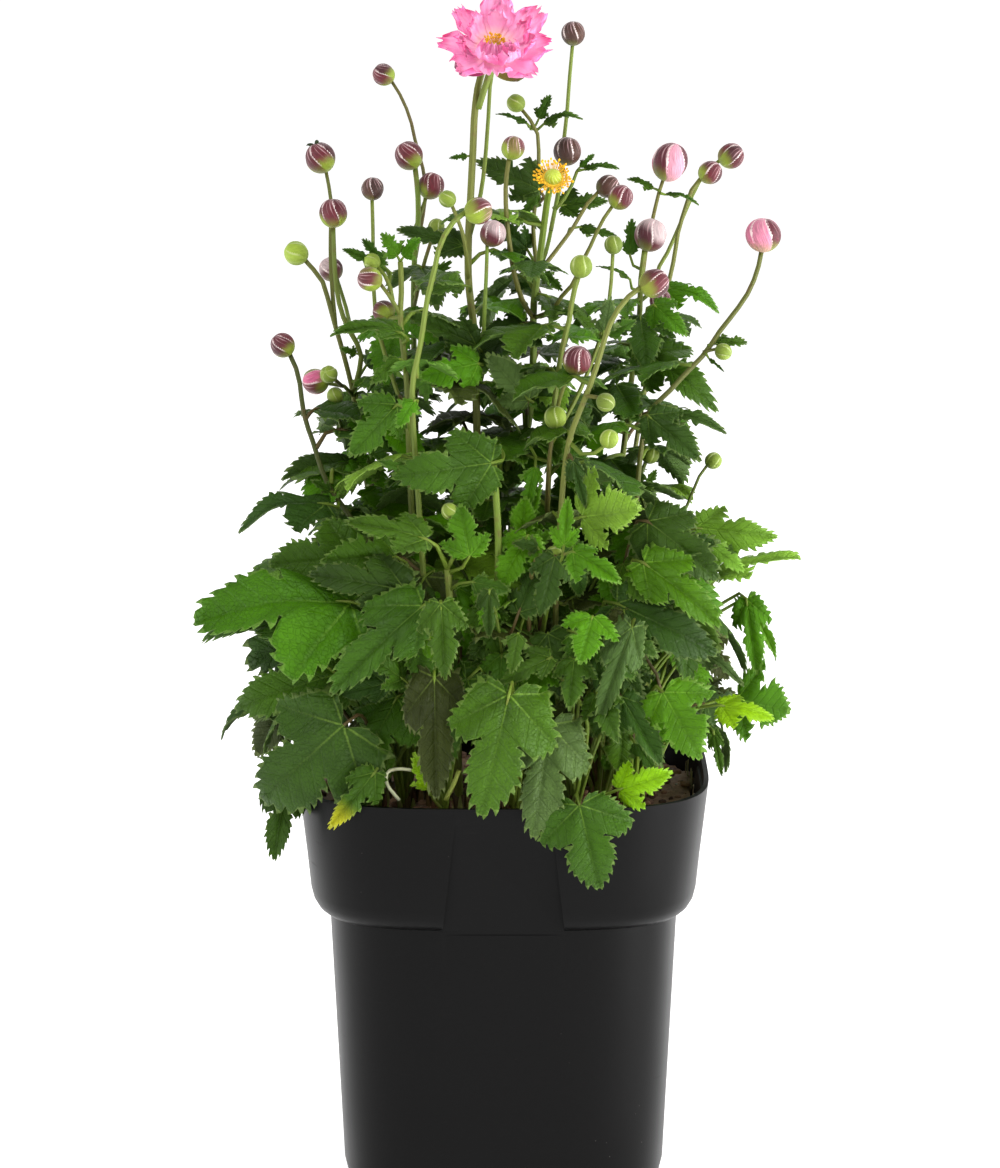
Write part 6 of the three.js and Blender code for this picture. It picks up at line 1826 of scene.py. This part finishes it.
def turned_form(name, profile, columns=144):
    """A closed form, pulled up ring by ring from a disc and pushed out to the rounded-square plan."""
    start, low = profile[0]
    place = (0, 0, low * MM)
    bpy.ops.mesh.primitive_circle_add(vertices=columns, radius=start * MM, fill_type="NGON", location=place)
    form = bpy.context.object
    form.name = name
    bpy.ops.object.transform_apply(location=True)
    bpy.ops.object.mode_set(mode="EDIT")
    bpy.ops.mesh.select_all(action="SELECT")
    for (half, height), (next_half, next_height) in zip(profile, profile[1:]):
        rise = (0, 0, (next_height - height) * MM)
        bpy.ops.mesh.extrude_region_move(TRANSFORM_OT_translate=dict(value=rise))
        share = next_half / half
        bpy.ops.transform.resize(value=(share, share, 1), center_override=(0, 0, next_height * MM))
    bpy.ops.mesh.select_all(action="SELECT")
    bpy.ops.mesh.normals_make_consistent(inside=False)
    bpy.ops.object.mode_set(mode="OBJECT")
    for vertex in form.data.vertices:
        reach = plan_reach(math.atan2(vertex.co.y, vertex.co.x))
        vertex.co.x *= reach
        vertex.co.y *= reach
    return form


def panel_block(grow):
    """The block that a collar panel is cut with: a wedge, deepest at the collar's lower edge."""
    bpy.ops.mesh.primitive_cube_add(size=2 * MM)
    block = bpy.context.object
    lean = (RIM_HALF - 2 - BODY_TOP_HALF) / (PANEL_TOP - BODY_TOP)
    for vertex in block.data.vertices:
        x, y, z = (math.copysign(1, c) for c in vertex.co)
        height = PANEL_TOP + grow if z > 0 else BODY_TOP - 2
        half = (PANEL_TOP_HALF if z > 0 else PANEL_LOW_HALF) + grow
        face = BODY_TOP_HALF + (height - BODY_TOP) * lean - grow
        vertex.co = Vector((x * half, -RIM_HALF - 20 if y < 0 else -face, height)) * MM
    return block


def select_only(form):
    """Makes the form the only selected one, and the active one."""
    bpy.ops.object.select_all(action="DESELECT")
    bpy.context.view_layer.objects.active = form
    form.select_set(True)


def cut(form, tool, turn=0):
    """Cuts the tool, turned about the pot's middle, out of the form, and throws the tool away."""
    tool.data.transform(Matrix.Rotation(math.radians(turn), 4, "Z"))
    select_only(form)
    change = form.modifiers.new("cut", "BOOLEAN")
    change.object = tool
    change.operation = "DIFFERENCE"
    change.solver = "EXACT"
    bpy.ops.object.modifier_apply(modifier="cut")
    bpy.data.objects.remove(tool)


DRAIN_COUNT = 8
# How much the pot's edges are rounded, and from how many degrees on a bend is such an edge, or shows as one.
ROUNDING = 0.7
EDGE_FROM = 26
SHARP_FROM = 30


def make_pot(colour, roughness):
    """The pot: a hollowed shell with drainage holes and a recessed panel in each side of its collar."""
    shell = turned_form("pot_dressed", pot_profile(0))
    top = (RIM_HALF - WALL + 0.2, POT_HEIGHT + 2)
    hollow = turned_form("pot_inside", [(60, FLOOR), *pot_profile(WALL)[3:], top])
    for turn in (0, 90, 180, 270):
        cut(shell, panel_block(0), turn)
        cut(hollow, panel_block(WALL), turn)
    cut(shell, hollow)
    for k in range(DRAIN_COUNT):
        bpy.ops.mesh.primitive_cylinder_add(
            vertices=28, radius=DRAIN_RADIUS * MM, depth=20 * MM, location=(DRAIN_REACH * MM, 0, 0),
        )
        bpy.ops.object.transform_apply(location=True)
        cut(shell, bpy.context.object, 360 / DRAIN_COUNT * (k + 0.5))
    select_only(shell)
    round_off = shell.modifiers.new("edges", "BEVEL")
    round_off.width = ROUNDING * MM
    round_off.segments = 3
    round_off.limit_method = "ANGLE"
    round_off.angle_limit = math.radians(EDGE_FROM)
    round_off.use_clamp_overlap = True
    bpy.ops.object.modifier_apply(modifier="edges")
    bpy.ops.object.shade_smooth_by_angle(angle=math.radians(SHARP_FROM))
    shell.data.materials.clear()
    shell.data.materials.append(pot_material(colour, roughness))
    settle_piece(shell, "pot")


def soil_height(x, y):
    """The soil's surface in millimetres, in clods and hollows."""
    spot = Vector((x, y, 0))
    broad = 2.2 * noise.noise(spot / 34)
    clods = 2.4 * abs(noise.noise(spot / 9 + Vector((7, 0, 0))))
    fine = 1.2 * noise.noise(spot / 3.1 + Vector((0, 9, 0)))
    return SOIL_TOP - 1.4 + broad + clods + fine


# Bent old stalks by the front of the rim, with their radius and colour.
LOOSE_STALKS = [
    ([(-49, 165, 80), (-54.6, 173, 80), (-54.2, 178, 79), (-49, 179.5, 77), (-43.6, 179, 75)],
     0.8, (196, 200, 160)),
    ([(-28, 165, 82), (-24, 173, 82), (-21.7, 179, 81)], 1.0, (140, 152, 66)),
]
CRUMB_TONES = [(170, 128, 100), (134, 100, 78), (196, 150, 116), (110, 82, 64)]
GRIT = (214, 208, 196)
ROOT_TONES = [(150, 118, 84), (112, 80, 56), (170, 150, 118)]
# The soil's edge at the wall's inside, a little below its top, and how far inside it the panels reach.
SOIL_SHARE = (SOIL_TOP - 1 - COLLAR_LOW) / (POT_HEIGHT - COLLAR_LOW)
SOIL_EDGE = COLLAR_LOW_HALF + (RIM_HALF - COLLAR_LOW_HALF) * SOIL_SHARE - WALL - 0.7
PANEL_DEPTH = 3.4
# How finely the surface is divided, the slab's thickness, and how many crumbs, roots on the soil and roots
# on the wall there are. Every seventeenth crumb is grit.
SOIL_BITS = 76
SLAB = 14
CRUMBS = 700
GRIT_EVERY = 17
ROOTS = 70
WALL_ROOTS = 14


def in_plan(angle, share, inwards):
    """A place on the soil's plan: the direction, and the share of the way to inwards of its edge."""
    reach = share * plan_reach(angle) * (SOIL_EDGE - inwards)
    return reach * math.cos(angle), reach * math.sin(angle)


def add_soil_slab(heap):
    """The clodded surface on a closed slab, set back where the collar's panels reach in."""
    bits = dict(x_subdivisions=SOIL_BITS, y_subdivisions=SOIL_BITS)
    sheet, faces = primitive(bpy.ops.mesh.primitive_grid_add, size=2, **bits)
    limit = SOIL_EDGE - PANEL_DEPTH
    points = []
    for x, y, _ in sheet:
        x, y = in_plan(math.atan2(y, x), max(abs(x), abs(y)), 0)
        if min(abs(x), abs(y)) < PANEL_TOP_HALF + 4 and max(abs(x), abs(y)) > limit:
            x, y = (math.copysign(limit, x), y) if abs(x) > abs(y) else (x, math.copysign(limit, y))
        points.append((x, y, soil_height(x, y)))
    under = [(x, y, SOIL_TOP - SLAB) for x, y, _ in points]
    faces = faces + [tuple(len(points) + i for i in reversed(face)) for face in faces]
    _, walls = closed_grid(SOIL_BITS + 1, SOIL_BITS + 1)
    heap.add(points + under, faces + walls, "soil", tint(188, 150, 122))


def add_crumbs(heap, rng):
    """Crumbs of compost, and white grit among them."""
    ball, net = primitive(bpy.ops.mesh.primitive_ico_sphere_add, subdivisions=2, radius=1)
    for k in range(CRUMBS):
        angle, out = rng.uniform(0, 2 * math.pi), math.sqrt(rng.random())
        x, y = in_plan(angle, out, 4)
        white = k % GRIT_EVERY == 0
        size = rng.uniform(0.5, 1.1) if white else rng.choice([rng.uniform(0.6, 1.4), rng.uniform(1.2, 3.2)])
        shake = np.array([1 + 0.35 * noise.noise(Vector(p) * 1.7 + Vector((k, 0, 0))) for p in ball])
        flat = np.array([rng.uniform(0.8, 1.2), rng.uniform(0.7, 1.1), rng.uniform(0.45, 0.9)])
        spot = np.array([x, y, soil_height(x, y) + 0.25 * size])
        shade = tint(*(GRIT if white else rng.choice(CRUMB_TONES)))
        heap.add(ball * shake[:, None] * flat * size + spot, net, "soil", shade)


def add_roots(heap, rng):
    """Fine roots that lie on the soil, and pale ones that hang on the right inner wall."""
    for _ in range(ROOTS):
        angle, out = rng.uniform(0, 2 * math.pi), 0.5 + 0.48 * rng.random()
        foot = Vector((*in_plan(angle, out, 5), 0))
        turn = rng.uniform(0, 6.3)
        way = Vector((math.cos(turn), math.sin(turn), 0))
        line = []
        for i in range(6):
            spot = foot + way * (i * rng.uniform(1.4, 2.4)) + way.orthogonal() * rng.uniform(-1, 1)
            height = soil_height(spot.x, spot.y) + 0.5 + 0.8 * math.sin(i)
            line.append(Vector((spot.x, spot.y, height)))
        if max(max(abs(p.x), abs(p.y)) for p in line) <= SOIL_EDGE - 4:
            add_tube(heap, line, [0.25] * 6, "soil", tint(*rng.choice(ROOT_TONES)), 5)
    for _ in range(WALL_ROOTS):
        foot = Vector((*in_plan(rng.uniform(-0.5, 0.5), 1, 2.5), SOIL_TOP))
        line = []
        for i in range(5):
            line.append(foot + Vector((0.12 * i, rng.uniform(-1, 1) + 0.8 * i, rng.uniform(1.2, 1.9) * i)))
        add_tube(heap, line, [0.3] * 5, "stem", tint(176, 160, 132), 5)


def make_soil():
    """Compost in the pot: a clodded surface, crumbs, white grit, fine roots and two bent old stalks."""
    heap = Heap()
    rng = random.Random(21)
    add_soil_slab(heap)
    add_crumbs(heap, rng)
    add_roots(heap, rng)
    for course, radius, tone in LOOSE_STALKS:
        line = even_points([seen(place) for place in course], 2)
        add_tube(heap, line, [radius] * len(line), "stem", tint(*tone), 7)
    heap.settle("soil")


# Settings, operators and panel

class PotSettings(bpy.types.PropertyGroup):
    """Finish of the pot."""

    colour: bpy.props.FloatVectorProperty(
        name="Pot colour", description="Colour of the moulded plastic", subtype="COLOR", size=3, min=0, max=1,
        default=linear(7, 6.5, 6.5),
    )
    roughness: bpy.props.FloatProperty(
        name="Pot roughness", description="How dull the plastic is", subtype="FACTOR", min=0.15, max=1,
        default=0.4,
    )


class PlantSettings(bpy.types.PropertyGroup):
    """How full the plant is, and the colour of its flower."""

    tuft_fill: bpy.props.IntProperty(
        name="Leaves added to a tuft", description="Further leaves that fill out each tuft", min=0, max=24,
        default=14,
    )
    stem_fill: bpy.props.IntProperty(
        name="Leaves added to a stem", description="Further leaves that fill out each stem", min=0, max=40,
        default=24,
    )
    petal_colour: bpy.props.IntVectorProperty(
        name="Petal colour", description="Red, green and blue of the petals, 0 to 255", size=3,
        min=0, max=255, default=(246, 166, 210),
    )


class StageSettings(bpy.types.PropertyGroup):
    """Floor and light."""

    floor_size: bpy.props.FloatProperty(
        name="Floor size", description="Width of the studio floor", subtype="DISTANCE", unit="LENGTH",
        min=2, max=60, default=24,
    )
    light: bpy.props.FloatProperty(
        name="Light", description="Strength of the lamps", subtype="FACTOR", min=0.1, max=4, default=1,
    )


class ANEMONE_OT_pot(bpy.types.Operator):
    """Makes the nursery pot with its recessed collar panels"""

    bl_idname = "anemone.pot"
    bl_label = "Pot"

    def execute(self, context):
        settings = context.scene.anemone_pot
        make_pot(tuple(settings.colour), settings.roughness)
        return {"FINISHED"}


class ANEMONE_OT_soil(bpy.types.Operator):
    """Fills the pot with crumbly compost"""

    bl_idname = "anemone.soil"
    bl_label = "Soil"

    def execute(self, context):
        make_soil()
        return {"FINISHED"}


class ANEMONE_OT_stems(bpy.types.Operator):
    """Makes the flowering stems with their leaves and small green buds"""

    bl_idname = "anemone.stems"
    bl_label = "Flowering stems"

    def execute(self, context):
        for name, plant in laid_out().items():
            if name.startswith("stem"):
                make_plant(name, plant, context.scene.anemone_plant.stem_fill)
        return {"FINISHED"}


class ANEMONE_OT_tufts(bpy.types.Operator):
    """Makes the leaf tufts that stand round the stems"""

    bl_idname = "anemone.tufts"
    bl_label = "Leaf tufts"

    def execute(self, context):
        for name, plant in laid_out().items():
            if name.startswith("tuft"):
                make_plant(name, plant, context.scene.anemone_plant.tuft_fill)
        return {"FINISHED"}


class ANEMONE_OT_buds(bpy.types.Operator):
    """Makes the wine-red flower buds"""

    bl_idname = "anemone.buds"
    bl_label = "Flower buds"

    def execute(self, context):
        buds = [bud for plant in laid_out().values() for bud in plant["buds"]]
        for node, bud in buds:
            if node:
                heap = Heap()
                number = int(node.removeprefix("bud_"))
                add_bud(heap, kind="bud", look=BUD_LOOKS.get(number, WINE), number=number, **bud)
                heap.settle(node)
        return {"FINISHED"}


class ANEMONE_OT_bloom(bpy.types.Operator):
    """Makes the open flower: its petals and stamens"""

    bl_idname = "anemone.bloom"
    bl_label = "Open flower"

    def execute(self, context):
        make_bloom(tuple(context.scene.anemone_plant.petal_colour))
        make_bloom_stamens()
        return {"FINISHED"}


class ANEMONE_OT_spent_head(bpy.types.Operator):
    """Makes the stamens left round the flower head that has dropped its petals"""

    bl_idname = "anemone.spent_head"
    bl_label = "Spent flower head"

    def execute(self, context):
        make_spent_stamens()
        return {"FINISHED"}


class ANEMONE_OT_stage(bpy.types.Operator):
    """Sets the floor, the light and the camera"""

    bl_idname = "anemone.stage"
    bl_label = "Stage"

    def execute(self, context):
        settings = context.scene.anemone_stage
        make_stage(settings.floor_size, settings.light)
        return {"FINISHED"}


class ANEMONE_PT_sidebar(bpy.types.Panel):
    """Lists the anemone's pieces and settings"""

    bl_label = "Potted anemone"
    bl_idname = "ANEMONE_PT_sidebar"
    bl_space_type = "VIEW_3D"
    bl_region_type = "UI"
    bl_category = "Anemone"

    def draw(self, context):
        scene = context.scene
        for group in (scene.anemone_pot, scene.anemone_plant, scene.anemone_stage):
            box = self.layout.box()
            for name in group.__annotations__:
                box.prop(group, name)
        for operator in PIECES:
            self.layout.operator(operator.bl_idname)


PIECES = [
    ANEMONE_OT_stage, ANEMONE_OT_pot, ANEMONE_OT_soil, ANEMONE_OT_stems, ANEMONE_OT_tufts, ANEMONE_OT_buds,
    ANEMONE_OT_bloom, ANEMONE_OT_spent_head,
]
CLASSES = [PotSettings, PlantSettings, StageSettings, *PIECES, ANEMONE_PT_sidebar]


# Lamps: name, place in metres, width and strength. They look at LAMP_AIM, in the lower half of the plant.
LAMPS = [
    ("key", (-0.55, -1.5, 2.1), 0.8, 22.5),
    ("fill", (1.5, -1.3, 1.1), 0.9, 6),
    ("left_side", (-1.7, -0.1, 0.5), 1.0, 10),
    ("right_side", (1.65, -0.42, 0.45), 1.5, 44),
    ("right_low", (0.62, -0.42, 0.07), 0.36, 2.2),
    ("back", (0.3, 1.6, 1.7), 1.2, 13),
]
LAMP_AIM = Vector((0, 0, 0.25))
SURROUND_LIGHT = 0.5
FLOOR_COLOUR = (0.93, 0.93, 0.93)
FLOOR_GLOW = 0.6
# The camera's lens and sensor in millimetres, and how far it sees in metres.
LENS = 172.02
SENSOR = 36
SIGHT = 60


def make_stage(floor_size, light):
    """A pale floor, a bright plain surround, soft lamps round it, and the camera."""
    bpy.ops.mesh.primitive_plane_add(size=floor_size)
    floor = bpy.context.object
    floor.name = "floor"
    floor.data.materials.append(floor_material(FLOOR_COLOUR, FLOOR_GLOW))
    world = bpy.data.worlds.new("surround")
    world.use_nodes = True
    background = world.node_tree.nodes["Background"]
    background.inputs["Color"].default_value = (1, 1, 1, 1)
    background.inputs["Strength"].default_value = SURROUND_LIGHT
    bpy.context.scene.world = world
    for name, place, size, watts in LAMPS:
        lamp = bpy.data.lights.new(name, "AREA")
        lamp.shape = "SQUARE"
        lamp.size = size
        lamp.energy = watts * light
        holder = bpy.data.objects.new(name, lamp)
        bpy.context.collection.objects.link(holder)
        holder.location = place
        holder.rotation_euler = (LAMP_AIM - Vector(place)).to_track_quat("-Z", "Y").to_euler()
    view = bpy.data.cameras.new("camera")
    view.lens = LENS
    view.sensor_width = SENSOR
    view.clip_end = SIGHT
    camera = bpy.data.objects.new("camera", view)
    bpy.context.collection.objects.link(camera)
    back, rise = VIEW_DISTANCE * math.cos(VIEW_TILT), VIEW_DISTANCE * math.sin(VIEW_TILT)
    camera.location = Vector((VIEW_SIDE, -back, VIEW_HEIGHT + rise)) * MM
    camera.rotation_euler = (math.pi / 2 - VIEW_TILT, 0, 0)
    bpy.context.scene.camera = camera
    bpy.context.scene.view_settings.view_transform = "Standard"


def register():
    for each in CLASSES:
        bpy.utils.register_class(each)
    bpy.types.Scene.anemone_pot = bpy.props.PointerProperty(type=PotSettings)
    bpy.types.Scene.anemone_plant = bpy.props.PointerProperty(type=PlantSettings)
    bpy.types.Scene.anemone_stage = bpy.props.PointerProperty(type=StageSettings)


def unregister():
    for name in ("anemone_pot", "anemone_plant", "anemone_stage"):
        delattr(bpy.types.Scene, name)
    for each in reversed(CLASSES):
        bpy.utils.unregister_class(each)


def main():
    register()
    bpy.ops.anemone.stage()
    bpy.ops.anemone.pot()
    bpy.ops.anemone.soil()
    bpy.ops.anemone.stems()
    bpy.ops.anemone.tufts()
    bpy.ops.anemone.buds()
    bpy.ops.anemone.bloom()
    bpy.ops.anemone.spent_head()


if __name__ == "__main__":
    main()
